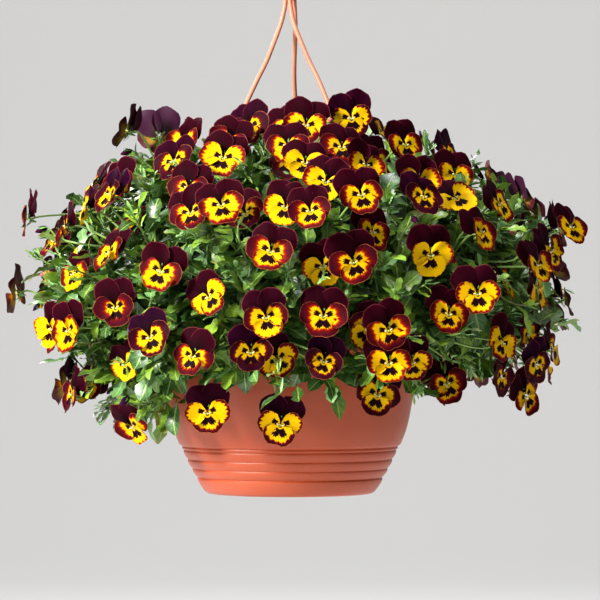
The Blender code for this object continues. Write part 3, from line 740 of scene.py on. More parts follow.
@dataclass(frozen=True)
class StemSkin:
    """A stem's or a sepal's skin: pale green, flushed with purple in places."""

    name: str
    green: Colour
    flush: Colour
    clouds: float = 110.0

    def build(self) -> Material:
        """Return the stem's material."""
        nodes = Nodes(self.name)
        _, along = nodes.pair("blade")
        young, flushed = nodes.pair("tone")
        cloud = nodes.noise(nodes.place(), self.clouds, 3.0)
        colour = nodes.mix(nodes.times(nodes.plus(young, cloud), 0.5), self.green,
                           tuple(min(1.0, 1.6 * channel) for channel in self.green))
        share = nodes.times(nodes.step(flushed, 0.55, 1.0), nodes.step(along, 0.4, 1.0))
        nodes.bump(cloud, 0.2, 0.0005)
        return nodes.finish({"Base Color": nodes.mix(nodes.times(share, 0.7), colour, self.flush),
                             "Roughness": nodes.between(cloud, 0.38, 0.56)})


@dataclass(frozen=True)
class PottingMix:
    """Damp dark potting mix, or the bark and perlite in it."""

    name: str
    dark: Colour
    light: Colour
    grain: float = 420.0
    roughness: float = 0.9

    def build(self) -> Material:
        """Return the mix's material."""
        nodes = Nodes(self.name)
        fine = nodes.noise(nodes.place(), self.grain, 6.0)
        colour = nodes.mix(nodes.step(fine, 0.35, 0.75), self.dark, self.light)
        nodes.bump(fine, 0.8, 0.0015)
        return nodes.finish({"Base Color": colour, "Roughness": self.roughness})


@dataclass(frozen=True)
class StudioPaper:
    """The plain pale floor that curves up into a backdrop."""

    colour: Colour = (0.64, 0.635, 0.625)
    cloud: Colour = (0.61, 0.605, 0.595)

    def build(self) -> Material:
        """Return the floor's material."""
        nodes = Nodes("studio_paper")
        share = nodes.times(nodes.noise(nodes.place(), 3.0, 2.0), 0.1)
        return nodes.finish({"Base Color": nodes.mix(share, self.colour, self.cloud), "Roughness": 0.9})


# ---------------- where the blooms are


@dataclass
class Bloom:
    """One pansy: its centre, the way it faces, the way up in its face, and its radius."""

    centre: Vector
    facing: Vector
    up: Vector
    radius: float

    STALK_NECK = 6.5 * MM
    STALK_HOOK = 13 * MM
    THROAT_DEPTH = 1.5 * MM
    REACH = 1.14
    CLEAR_AHEAD = 6 * MM
    CLEAR_BEHIND = 9.5 * MM
    # the face's outline, across, up and forward, in bloom radii
    CORNERS = (
        (0.70, 0.42, 0.05), (0.98, -0.10, 0.12), (0.60, -0.46, 0.02), (0.48, -0.98, 0.12),
        (-0.48, -0.98, 0.12), (-0.60, -0.46, 0.02), (-0.98, -0.10, 0.12), (-0.70, 0.42, 0.05),
        (0.0, 0.84, -0.14), (0.62, 1.00, -0.20), (0.92, 0.12, -0.10), (-0.92, 0.12, -0.10),
        (-0.62, 1.00, -0.20),
    )
    INNER_SHARE = 0.55
    NECK_SAMPLES = 5

    @classmethod
    def turned_to(cls, centre: Vector, facing: Vector, roll: float, radius: float) -> "Bloom":
        """Make a bloom that faces a direction, upright but for its roll in degrees.

        Args:
            centre: The middle of its face.
            facing: The way it looks.
            roll: Degrees from upright.
            radius: Its radius.

        Returns:
            The bloom.
        """
        level = UP.cross(facing).normalized()
        up = Matrix.Rotation(math.radians(roll), 3, facing) @ facing.cross(level)
        return cls(centre, facing, up, radius)

    @property
    def across(self) -> Vector:
        """Return the direction to the right as one looks at the face."""
        return self.up.cross(self.facing)

    @property
    def hook(self) -> Vector:
        """Return the point behind the bloom where its stalk bends over."""
        return self.centre - self.facing * self.STALK_HOOK

    def samples(self) -> list[Vector]:
        """Return points on the face's corners and half way in, and on the stalk's start."""
        points = [self.centre - self.facing * (step * self.STALK_NECK) for step in range(self.NECK_SAMPLES)]
        for x, y, z in self.CORNERS:
            offset = (self.across * x + self.up * y + self.facing * z) * self.radius
            points += [self.centre + offset, self.centre + offset * self.INNER_SHARE]
        return points

    def is_near(self, points: list[Vector]) -> bool:
        """Tell whether any point comes close in front of or behind the face.

        Args:
            points: The points to test.

        Returns:
            True where one of them does.
        """
        for point in points:
            offset = point - self.centre
            depth = offset.dot(self.facing)
            flat = (offset - depth * self.facing).length
            if -self.CLEAR_BEHIND < depth < self.CLEAR_AHEAD and flat < self.radius * self.REACH:
                return True
        return False


@dataclass
class Hanger:
    """The three arms, and the hub with its hook."""

    lug_azimuths: dict[str, float] = field(default_factory=lambda: {"left": 203, "right": 323, "back": 83})
    lug_circle: float = 136 * MM
    arm_twist: float = -53
    arm_radius: float = 2.3 * MM
    # the swelling over each ear: millimetres down from its top, and radius
    swelling_top: float = 143.7 * MM
    swelling: Rows = ((0.0, 3.0), (0.2, 3.7), (1.6, 3.9), (3.2, 2.9), (3.6, 1.2))
    hub_top: float = 514 * MM
    hub_bottom: float = 497 * MM
    # the hub's outline in millimetres: radius, and how far down from its top or up from its bottom
    hub_crown: Rows = ((0.0, 0.0), (4.5, 0.0), (6.6, 0.7), (8.3, 2.2), (9.5, 4.6))
    hub_foot: Rows = (
        (9.5, 6.0), (10.0, 5.0), (10.0, 2.0), (9.5, 1.0), (8.5, 0.0), (0.0, 0.0),
    )
    rod_radius: float = 3 * MM
    hook_inner_radius: float = 16 * MM
    line: tuple[Point, ...] = (   # height, radius, share of the twist
        (141, 136.0, 0.0), (150, 136.0, 0.0), (182, 129.0, 0.0), (230, 114.5, 0.0), (280, 98.0, 0.0),
        (330, 77.0, 0.0), (371, 56.0, 0.0), (410, 36.5, 0.0), (430, 25.5, 0.05), (450, 16.5, 0.20),
        (470, 9.0, 0.55), (488, 5.4, 0.92), (497, 5.0, 1.0), (505.5, 5.0, 1.0),
    )

    def arm_path(self, side: str) -> list[Vector]:
        """Return an arm's centre line from below its ear up into the hub."""
        lug = self.lug_azimuths[side]
        return [polar(radius * MM, lug + self.arm_twist * twist, height * MM)
                for height, radius, twist in self.line]

    def build(self, finish: Material) -> list[Object]:
        """Build the arms and the hub with its hook.

        Args:
            finish: The hanger's plastic.

        Returns:
            The four pieces.
        """
        pieces = []
        for side in self.lug_azimuths:
            bench = Bench(f"arm_{side}")
            path = smooth_path(self.arm_path(side), 5)
            bench.tube(path, [self.arm_radius] * len(path), 16, finish)
            foot = path[0]
            line = [Vector((foot.x, foot.y, self.swelling_top - drop * MM)) for drop, _ in self.swelling]
            bench.tube(line, [radius * MM for _, radius in self.swelling], 16, finish)
            pieces.append(bench.build(Slot.HANGER, (f"hanger_arm_{side}",)))
        bench = Bench("hub_and_hook")
        profile = [(radius * MM, self.hub_top - drop * MM) for radius, drop in self.hub_crown]
        profile += [(radius * MM, self.hub_bottom + rise * MM) for radius, rise in self.hub_foot]
        bench.turned(profile, 40, finish)
        path = smooth_path(self.hook_line(), 4)
        radii = [self.rod_radius] * len(path)
        radii[-1] = self.rod_radius * 0.45
        radii[-2] = self.rod_radius * 0.85
        bench.tube(path, radii, 18, finish)
        pieces.append(bench.build(Slot.HANGER, ("hanger_hook",)))
        return pieces

    def hook_line(self) -> list[Vector]:
        """Return the hook's line: up out of the hub, out to one side and over to a point."""
        circle = self.hook_inner_radius + self.rod_radius
        middle = HOOK_SEAT - self.hook_inner_radius
        points = [Vector((0, 0, self.hub_top - 6 * MM)), Vector((0, 0, self.hub_top + 6 * MM)),
                  Vector((-4.5 * MM, 0, self.hub_top + 14 * MM))]
        for step in range(12):
            angle = math.radians(222 - 22.5 * step)
            points.append(Vector((circle * math.cos(angle), 0, middle + circle * math.sin(angle))))
        return points


@dataclass
class Mound:
    """The rounded mound of blooms, and the seeded rule that sets them out."""

    hanger: Hanger
    axis_x: float = 12 * MM
    shell: Rows = (                    # height and radius
        (70 * MM, 170 * MM), (95 * MM, 215 * MM), (130 * MM, 243 * MM), (170 * MM, 260 * MM),
        (215 * MM, 267 * MM), (255 * MM, 260 * MM), (290 * MM, 232 * MM), (320 * MM, 193 * MM),
        (345 * MM, 143 * MM), (362 * MM, 85 * MM), (370 * MM, 0.0),
    )
    widest: Pair = (215 * MM, 267 * MM)
    skirt_side: float = 88 * MM
    skirt_front: float = 138 * MM
    hem_start: Pair = (92 * MM, 66 * MM)
    hem_slope: float = 0.5
    bloom_count: int = 130
    deep_count: int = 44
    bloom_radius: float = 25 * MM
    darts: int = 16000
    # how a dart strays: out of the shell, sideways, up or down, and in roll
    stray: tuple[float, ...] = (7 * MM, 15, 9, 14)
    size_spread: Pair = (0.92, 1.06)
    back_crowding: float = 0.36
    crowding_power: float = 1.3
    crown_radius: float = 45 * MM
    front_lean: float = 0.28
    # degrees that the shell looks up: at its widest, at its top and at its skirt
    looks_up: Point = (12, 32, -10)
    crown_turn: float = 70
    # the room that blooms leave: over and round the pot's lip, and beside the arms
    lip_height: float = 156 * MM
    lip_reach: float = (131.5 + 14) * MM
    arm_share: float = 1.15
    arm_gap: float = 4 * MM
    # the deeper blooms: millimetres behind the others, how their faces stray, roll and size
    deep_behind: Pair = (14, 30)
    deep_stray: tuple[float, ...] = (0.25, 0.2, 0.2)
    deep_roll: float = 20
    deep_size: Pair = (0.86, 1.0)
    # X, Y, height, facing azimuth, elevation, roll
    trailing: tuple[tuple[float, ...], ...] = (
        (-79, -168, 89, 262, -12, 6), (-8, -176, 78, 272, -16, -8), (24, -181, 112, 268, -4, 12),
        (85, -170, 106, 285, -10, -14), (122, -158, 88, 300, -18, 10), (-156, -92, 72, 225, -38, 20),
        (-214, -70, 104, 196, 4, -12), (150, -140, 116, 296, 6, 16),
        (-162, -18, 366, 168, 14, 10), (-132, 22, 362, 84, 10, -8), (-262, -20, 279, 186, 6, 0),
        (226, -60, 256, 352, -8, 10), (60, -52, 376, 276, 6, 8), (104, -38, 366, 300, 10, -12),
        (16, -70, 368, 262, 12, -6), (-40, -78, 366, 244, 14, 12), (268, -30, 268, 348, 4, 8),
    )

    def place(self, along: float) -> Pair:
        """Return the shell's radius and height at a share of its profile's length.

        Args:
            along: The share, from 0 at the skirt to 1 at the top.

        Returns:
            The radius and the height.
        """
        spans = [math.dist(a, b) for a, b in zip(self.shell, self.shell[1:])]
        left = along * sum(spans)
        for (z_low, r_low), (z_high, r_high), span in zip(self.shell, self.shell[1:], spans):
            if left <= span:
                share = left / span
                return r_low + (r_high - r_low) * share, z_low + (z_high - z_low) * share
            left -= span
        return self.shell[-1][1], self.shell[-1][0]

    def skirt_height(self, azimuth: float) -> float:
        """Return how low the blooms hang at an azimuth: higher in front, where the pot shows."""
        front = max(0.0, -math.sin(math.radians(azimuth))) ** 2
        return self.skirt_side + (self.skirt_front - self.skirt_side) * front

    def hem(self, x: float) -> float:
        """Return how low the leaves hang at an X: the mound lifts towards its right end."""
        return self.hem_start[1] + self.hem_slope * (x - self.hem_start[0]) if x > self.hem_start[0] else 0.0

    def elevation(self, height: float) -> Pair:
        """Return how far the shell at a height looks up, in degrees, and its share of the way to the top.

        Args:
            height: The height.

        Returns:
            The elevation, and the share above the widest place.
        """
        level, top, skirt = self.looks_up
        if height > self.widest[0]:
            rise = (height - self.widest[0]) / (self.shell[-1][0] - self.widest[0])
            return level + (top - level) * rise, rise
        fall = (self.widest[0] - height) / (self.widest[0] - self.shell[0][0])
        return level + (skirt - level) * fall, 0.0

    def outward(self, azimuth: float, rise: float) -> Vector:
        """Return the way out of the shell at an azimuth and a share of the way to the top."""
        return direction(azimuth, self.crown_turn * rise)

    def throw(self, rng: random.Random) -> Bloom | None:
        """Throw one bloom at the shell, or return None where it misses.

        Args:
            rng: The draw for its place, turn and size.

        Returns:
            The bloom, or None.
        """
        azimuth = rng.uniform(0, 360)
        radius, height = self.place(rng.random())
        depth, turn, tilt, roll = (rng.gauss(0, spread) for spread in self.stray)
        size = self.bloom_radius * rng.uniform(*self.size_spread)
        frontness = (1 - math.sin(math.radians(azimuth))) / 2
        crowding = self.back_crowding + (1 - self.back_crowding) * frontness ** self.crowding_power
        missed = rng.random() > crowding * max(radius, self.crown_radius) / self.widest[1]
        if missed or height < self.skirt_height(azimuth):
            return None
        elevation, rise = self.elevation(height)
        facing = direction(azimuth + turn, elevation + tilt) - Vector((0, self.front_lean * frontness, 0))
        centre = polar(radius, azimuth, height, self.axis_x) + self.outward(azimuth, rise) * depth
        return Bloom.turned_to(centre, facing.normalized(), roll, size)

    def is_blocked(self, bloom: Bloom, points: list[Vector]) -> bool:
        """Tell whether a bloom comes near the pot or an arm of the hanger.

        Args:
            bloom: The bloom.
            points: Its sample points.

        Returns:
            True where it does.
        """
        for point in points:
            if point.z < self.lip_height and math.hypot(point.x, point.y) < self.lip_reach:
                return True
        for side in self.hanger.lug_azimuths:
            path = self.hanger.arm_path(side)
            for start, end in zip(path, path[1:]):
                share = (bloom.centre - start).dot(end - start) / (end - start).length_squared
                closest = start + (end - start) * min(max(share, 0.0), 1.0)
                if (closest - bloom.centre).length < bloom.radius * self.arm_share + self.arm_gap:
                    return True
        return False

    def blooms(self) -> list[Bloom]:
        """Set out the trailing blooms, then fill the mound with darts that keep clear of one another.

        Returns:
            The blooms that the CAD holds, then those that look out from deeper between them.
        """
        rng = random.Random(SEED)
        placed: list[tuple[Bloom, list[Vector]]] = []

        def has_room(bloom: Bloom, points: list[Vector]) -> bool:
            """Tell whether a bloom keeps clear of those already placed."""
            for other, samples in placed:
                near = (bloom.centre - other.centre).length <= (bloom.radius + other.radius) * Bloom.REACH
                if near and (other.is_near(points) or bloom.is_near(samples)):
                    return False
            return True

        def settle(bloom: Bloom, is_thrown: bool = True) -> None:
            """Keep a bloom where it has room; a thrown one also keeps clear of the pot and the arms."""
            points = bloom.samples()
            if not (is_thrown and self.is_blocked(bloom, points)) and has_room(bloom, points):
                placed.append((bloom, points))

        for x, y, height, azimuth, elevation, roll in self.trailing:
            centre = Vector((x, y, height)) * MM
            way = direction(azimuth, elevation)
            settle(Bloom.turned_to(centre, way, roll, self.bloom_radius), is_thrown=False)
        for _ in range(self.darts):
            bloom = self.throw(rng)
            if bloom is not None and len(placed) < self.bloom_count:
                settle(bloom)
        rng = random.Random(SEED + 5)
        for _ in range(self.darts):
            bloom = self.throw(rng)
            if bloom is None or len(placed) >= self.bloom_count + self.deep_count:
                continue
            centre = bloom.centre - bloom.facing * (rng.uniform(*self.deep_behind) * MM)
            stray = Vector([rng.gauss(0, spread) for spread in self.deep_stray])
            settle(Bloom.turned_to(centre, (bloom.facing + stray).normalized(), rng.gauss(0, self.deep_roll),
                                   bloom.radius * rng.uniform(*self.deep_size)))
        return [bloom for bloom, _ in placed]


# ---------------- one pansy


@dataclass(frozen=True)
class PetalShape:
    """One petal's outline as a fan: all lengths are in bloom radii, all angles in degrees."""

    kind: Petal
    base: Pair
    axis: float
    length: float
    half_turn: float
    fullness: float
    layer: float
    lift: float
    notch: float = 0.0
    notch_width: float = 0.16
    columns: int = 15
    rows: int = 7
    claw: float = 0.07                 # where the fan starts, as a share of its length
    edge_turn: float = 86
    crimp: float = 0.018
    # ranges that each petal draws from
    lengths: Pair = (0.95, 1.05)
    axis_stray: float = 3
    waves: Pair = (2.4, 4.2)
    ruffles: Pair = (0.03, 0.075)
    lean: float = 0.09
    cups: Pair = (0.02, 0.14)

    def grid(self, bloom: Bloom, rng: random.Random) -> tuple[np.ndarray, np.ndarray, np.ndarray]:
        """Lay the petal out in a bloom's face.

        Args:
            bloom: The bloom that it belongs to.
            rng: The draw for its ruffles.

        Returns:
            Its points, its blade map and its face map.
        """
        length = self.length * rng.uniform(*self.lengths)
        axis = math.radians(self.axis + rng.gauss(0, self.axis_stray))
        waves = rng.uniform(*self.waves)
        phase = rng.uniform(0, math.tau)
        ruffle = rng.uniform(*self.ruffles)
        lean = rng.gauss(0, self.lean)
        cup = rng.uniform(*self.cups)
        u = np.linspace(1, -1, self.columns)[None, :]
        v = np.linspace(self.claw, 1, self.rows)[:, None] ** 0.85
        swing = np.radians(self.half_turn) * u
        reach = length * np.cos(np.radians(self.edge_turn) * u) ** self.fullness
        reach = reach * (1 - self.notch * np.exp(-(u / self.notch_width) ** 2))
        reach = reach * (1 + self.crimp * np.sin(u * waves * 4.1 + phase))
        x = self.base[0] + v * reach * np.cos(axis + swing)
        y = self.base[1] + v * reach * np.sin(axis + swing)
        z = (self.layer + self.lift * v ** 1.6 + lean * v ** 2
             + ruffle * v ** 3 * np.sin(u * waves * 2.2 + phase) - cup * v ** 2 * u ** 2)
        across, up, facing = (np.array(axis3) for axis3 in (bloom.across, bloom.up, bloom.facing))
        offset = x[..., None] * across + y[..., None] * up + z[..., None] * facing
        points = np.array(bloom.centre) + offset * bloom.radius
        blade = np.stack([np.broadcast_to(u * 0.5 + 0.5, x.shape), np.broadcast_to(v, x.shape)], axis=2)
        face = np.stack([x, y], axis=2) / (2 * PansyHead.face_span) + 0.5
        return points, blade, face


@dataclass
class PansyHead:
    """One pansy's five petals with its throat."""

    throat_y: float = -0.20            # below the bloom's middle, in bloom radii
    face_span: float = 1.3             # half the width of the face map, in bloom radii
    thickness: float = 0.35 * MM
    yellow_spread: float = 0.27        # how the share of yellow varies between blooms
    lower_spread: float = 0.22         # and between a bloom's lower petal and its others
    # in millimetres: rise and radius along the throat; reach, rise and radius along half the beard
    throat_line: Rows = ((-2.0, 0.9), (-0.4, 1.3), (0.4, 1.0), (0.9, 0.4))
    beard_line: tuple[tuple[float, ...], ...] = (
        (1.3, 0.6, 0.35), (2.2, 1.6, 0.6), (3.4, 1.9, 0.5), (4.4, 1.2, 0.2),
    )
    # kind, base, axis, length, half turn, fullness, layer and lift, and the lower petal's notch
    shapes: tuple[PetalShape, ...] = (
        PetalShape(Petal.UPPER, (0.05, -0.14), 64, 1.16, 62, 0.52, -0.13, -0.06),
        PetalShape(Petal.UPPER, (-0.05, -0.14), 118, 1.18, 62, 0.52, -0.08, -0.06),
        PetalShape(Petal.SIDE, (0.03, -0.18), 10, 0.86, 70, 0.48, -0.02, 0.07),
        PetalShape(Petal.SIDE, (-0.03, -0.18), 170, 0.86, 70, 0.48, -0.02, 0.07),
        PetalShape(Petal.LOWER, (0.0, -0.20), 270, 0.79, 92, 0.25, 0.03, 0.12, 0.11),
    )

    def __post_init__(self) -> None:
        """Build the petals' finishes."""
        velvet = VelvetPetal().build()
        side = FacePetal(
            Petal.SIDE, least_yellow=0.42, most_yellow=0.90, petal_length=0.86, patch_turn=30.0,
            patch_width=0.085, patch_flare=0.04, patch_start=0.16, patch_end=0.39,
            throat_y=self.throat_y, face_span=self.face_span, whisker=0.022,
        ).build()
        lower = FacePetal(
            Petal.LOWER, least_yellow=0.44, most_yellow=0.95, petal_length=0.79, patch_turn=-90.0,
            patch_width=0.05, patch_flare=0.60, patch_start=0.13, patch_end=0.45,
            throat_y=self.throat_y, face_span=self.face_span, notch=0.11, whisker=0.03,
        ).build()
        self.fronts = {Petal.UPPER: velvet, Petal.SIDE: side, Petal.LOWER: lower}
        purple_back = PetalBack("upper_petal_back", (0.06, 0.018, 0.03), (0.045, 0.005, 0.030), 0.4).build()
        yellow_back = PetalBack("face_petal_back", (0.40, 0.22, 0.02), (0.09, 0.010, 0.02), 0.62).build()
        self.backs = {Petal.UPPER: purple_back, Petal.SIDE: yellow_back, Petal.LOWER: yellow_back}
        self.throat = StemSkin("throat_green", (0.32, 0.38, 0.06), (0.5, 0.3, 0.05)).build()
        self.beard = StemSkin("throat_beard", (0.60, 0.56, 0.26), (0.6, 0.5, 0.2)).build()

    def add(self, bench: Bench, bloom: Bloom, rng: random.Random) -> None:
        """Add the petals and the throat to a piece.

        Args:
            bench: The piece.
            bloom: Where the bloom is.
            rng: The draw for its look.
        """
        yellow, warmth = rng.gauss(0.5, self.yellow_spread), rng.random() ** 0.7
        lower_yellow = yellow + rng.gauss(0, self.lower_spread)
        for shape in self.shapes:
            share = lower_yellow if shape.kind is Petal.LOWER else yellow
            tone = (min(1.0, max(0.0, share)), warmth)
            points, blade, face = shape.grid(bloom, rng)
            front, back = self.fronts[shape.kind], self.backs[shape.kind]
            bench.sheet(points, blade, face, self.thickness, tone, front, back)
        middle = bloom.centre + (bloom.up * self.throat_y + bloom.facing * -0.02) * bloom.radius
        path = [middle + bloom.facing * (rise * MM) for rise, _ in self.throat_line]
        bench.tube(path, [radius * MM for _, radius in self.throat_line], 8, self.throat, (0.8, 0.2))
        for side in (-1, 1):
            out = (bloom.across * side + bloom.up * 0.45).normalized()
            path = [middle + out * (reach * MM) + bloom.facing * (rise * MM)
                    for reach, rise, _ in self.beard_line]
            bench.tube(path, [radius * MM for *_, radius in self.beard_line], 5, self.beard, (0.8, 0.2))


# ---------------- stems, leaves and buds


@dataclass
class Spray:
    """One main stem: its node's name and its centre line."""

    node: str
    path: list[Vector]


@cache
def node_points(node: str) -> np.ndarray:
    """Read the vertices of one of the frame's nodes.

    Args:
        node: The node's name.

    Returns:
        Its vertices, one in a row.
    """
    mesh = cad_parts[node].data
    points = np.empty(len(mesh.vertices) * 3)
    mesh.vertices.foreach_get("co", points)
    return points.reshape(-1, 3)


@dataclass
class Sprays:
    """The rings of main stems in the soil."""

    mound: Mound
    hole_depth: float = 12 * MM
    gap: float = 0.3 * MM
    root_radius: float = 3.0 * MM
    tip_radius: float = 2.4 * MM
    collar_height: float = 3 * MM
    # stems whose tips are lower than this climb first and then hang over
    low_tip: float = 60 * MM
    low_rise: float = 86 * MM
    low_overshoot: float = 62 * MM
    bend_share: float = 0.62
    flare: float = 1.04
    stops: tuple[float, ...] = (0.3, 0.55, 0.78, 1.0)
    # ring radius in the soil, tip radius and height, how many, and the first one's azimuth
    tiers: tuple[tuple[float, float, float, int, float], ...] = (
        (98 * MM, 205 * MM, 158 * MM, 9, 20.0), (68 * MM, 196 * MM, 226 * MM, 8, 0.0),
        (40 * MM, 128 * MM, 288 * MM, 6, 53.0), (13 * MM, 42 * MM, 310 * MM, 3, 23.0),
    )

    def stem_path(self, ring: float, reach: float, height: float, azimuth: float) -> list[Vector]:
        """Return a stem's line: straight out of its hole, then bent outward to its tip.

        Args:
            ring: Radius at which it stands in the soil.
            reach: Radius of its tip.
            height: Height of its tip.
            azimuth: Its azimuth in degrees.

        Returns:
            The points of its line.
        """
        foot = polar(ring, azimuth, SOIL_TOP - self.hole_depth + self.gap)
        collar = polar(ring, azimuth, SOIL_TOP + self.collar_height)
        low = height < SOIL_TOP + self.low_tip
        rise = self.low_rise if low else self.bend_share * (height - SOIL_TOP)
        start = polar(ring * self.flare, azimuth, SOIL_TOP + rise)
        over = polar(ring + self.bend_share * (reach - ring), azimuth,
                     height + (self.low_overshoot if low else 0), self.mound.axis_x / 2)
        tip = polar(reach, azimuth, height, self.mound.axis_x)
        return [foot, collar] + [bezier([collar, start, over, tip], share) for share in self.stops]

    def plan(self) -> list[Spray]:
        """Set out every stem, tier by tier."""
        sprays = []
        for ring, reach, height, count, first in self.tiers:
            for k in range(count):
                path = self.stem_path(ring, reach, height, first + 360 * k / count)
                sprays.append(Spray(f"spray_{len(sprays) + 1:02d}", path))
        return sprays

    @staticmethod
    def owner(sprays: list[Spray], bloom: Bloom) -> Spray:
        """Find the spray whose CAD node holds a bloom, by the vertex at the bloom's throat."""
        throat = np.array(bloom.centre - bloom.facing * Bloom.THROAT_DEPTH + Vector((0, 0, POT_BASE_Z)))
        return min(sprays, key=lambda spray: np.linalg.norm(node_points(spray.node) - throat, axis=1).min())


@dataclass
class Clearance:
    """Keeps leaves out of the blooms' faces, the pot and the hanger."""

    blooms: list[Bloom]
    hanger: Hanger
    face_share: float = 1.05           # a face's kept disc, in bloom radii
    behind: float = 3.5 * MM           # room behind a face's middle, and how much more at its edge
    behind_edge: float = 2.5 * MM
    lip_gap: float = 2 * MM
    lip_reach: float = 138 * MM
    arm_gap: float = 6 * MM

    def __post_init__(self) -> None:
        """Keep the blooms' discs and the arms' lines as arrays."""
        self.centres = np.array([bloom.centre for bloom in self.blooms])
        self.facings = np.array([bloom.facing for bloom in self.blooms])
        self.radii = np.array([bloom.radius for bloom in self.blooms])
        self.arms = np.array([point for side in self.hanger.lug_azimuths
                              for point in smooth_path(self.hanger.arm_path(side)[1:-2], 6)])

    def is_free(self, points: np.ndarray, ahead: float) -> bool:
        """Tell whether points keep clear of every bloom, the pot and the arms.

        Args:
            points: Points along a leaf.
            ahead: How much room is kept free in front of each face.

        Returns:
            True where nothing is touched.
        """
        offset = points[:, None, :] - self.centres[None, :, :]
        depth = np.einsum("pbk,bk->pb", offset, self.facings)
        flat = np.sqrt(np.maximum((offset ** 2).sum(axis=2) - depth ** 2, 0))
        share = flat / self.radii
        behind = self.behind + self.behind_edge * share
        if np.any((share < self.face_share) & (depth > -behind) & (depth < ahead)):
            return False
        reach = np.hypot(points[:, 0], points[:, 1])
        if np.any((points[:, 2] < POT_TOP + self.lip_gap) & (reach < self.lip_reach)):
            return False
        apart = np.linalg.norm(points[:, None, :] - self.arms[None, :, :], axis=2)
        return bool(np.all(apart > self.arm_gap))


@dataclass(frozen=True)
class LeafShape:
    """A pansy leaf: a narrow stalk, then a long blade with rounded teeth."""

    rows: int = 15
    thickness: float = 0.4 * MM
    teeth: float = 3.0
    tooth_depth: float = 0.36
    stalk_share: float = 0.2           # of the leaf's length
    stalk_width: float = 0.11          # of half the blade's width
    blade_width: float = 0.95
    tip_width: float = 0.16
    folds: Pair = (0.12, 0.4)
    waviness: float = 0.10
    arching: float = 0.05
    shortening: float = 0.22           # how much of its length a full droop takes up

    def grid(self, root: Vector, aim: Vector, upper: Vector, length: float, width: float,
             droop: float, rng: random.Random) -> tuple[np.ndarray, np.ndarray]:
        """Lay a leaf out from its root.

        Args:
            root: Where it leaves its stem.
            aim: The way it points.
            upper: Roughly the way its upper side faces.
            length: Its length with its stalk.
            width: Half its width.
            droop: How far its tip bends down.
            rng: The draw for its waves.

        Returns:
            Its points and its blade map.
        """
        s = np.linspace(0, 1, self.rows)[:, None]
        t = np.linspace(-1, 1, 3)[None, :]
        blade = np.clip((s - self.stalk_share) / (1 - self.stalk_share), 0, 1)
        body = np.sin(np.pi * blade ** 1.25) ** 0.62
        notches = 0.5 + 0.5 * np.cos(blade * math.tau * self.teeth)
        teeth = 1 - self.tooth_depth * notches * (blade > 0.05)
        half = width * (self.stalk_width + self.blade_width * body * teeth)
        half = np.where(s > 0.985, width * self.tip_width, half)
        across = aim.cross(upper).normalized()
        normal = across.cross(aim).normalized()
        phase = rng.uniform(0, math.tau)
        fold = rng.uniform(*self.folds)
        rise = (-droop * s ** 2 + self.arching * np.sin(s * 5.5 + phase)) * length
        wave = self.waviness * width * np.sin(s * 16 + phase) * t * np.abs(t)
        lift = rise + np.abs(t) * half * fold + wave
        along = s * length * (1 - self.shortening * droop * s)
        grid = (np.array(root) + along[..., None] * np.array(aim)
                + (t * half)[..., None] * np.array(across) + lift[..., None] * np.array(normal))
        shape = (self.rows, 3)
        return grid, np.stack([np.broadcast_to(t * 0.5 + 0.5, shape), np.broadcast_to(s, shape)], axis=2)


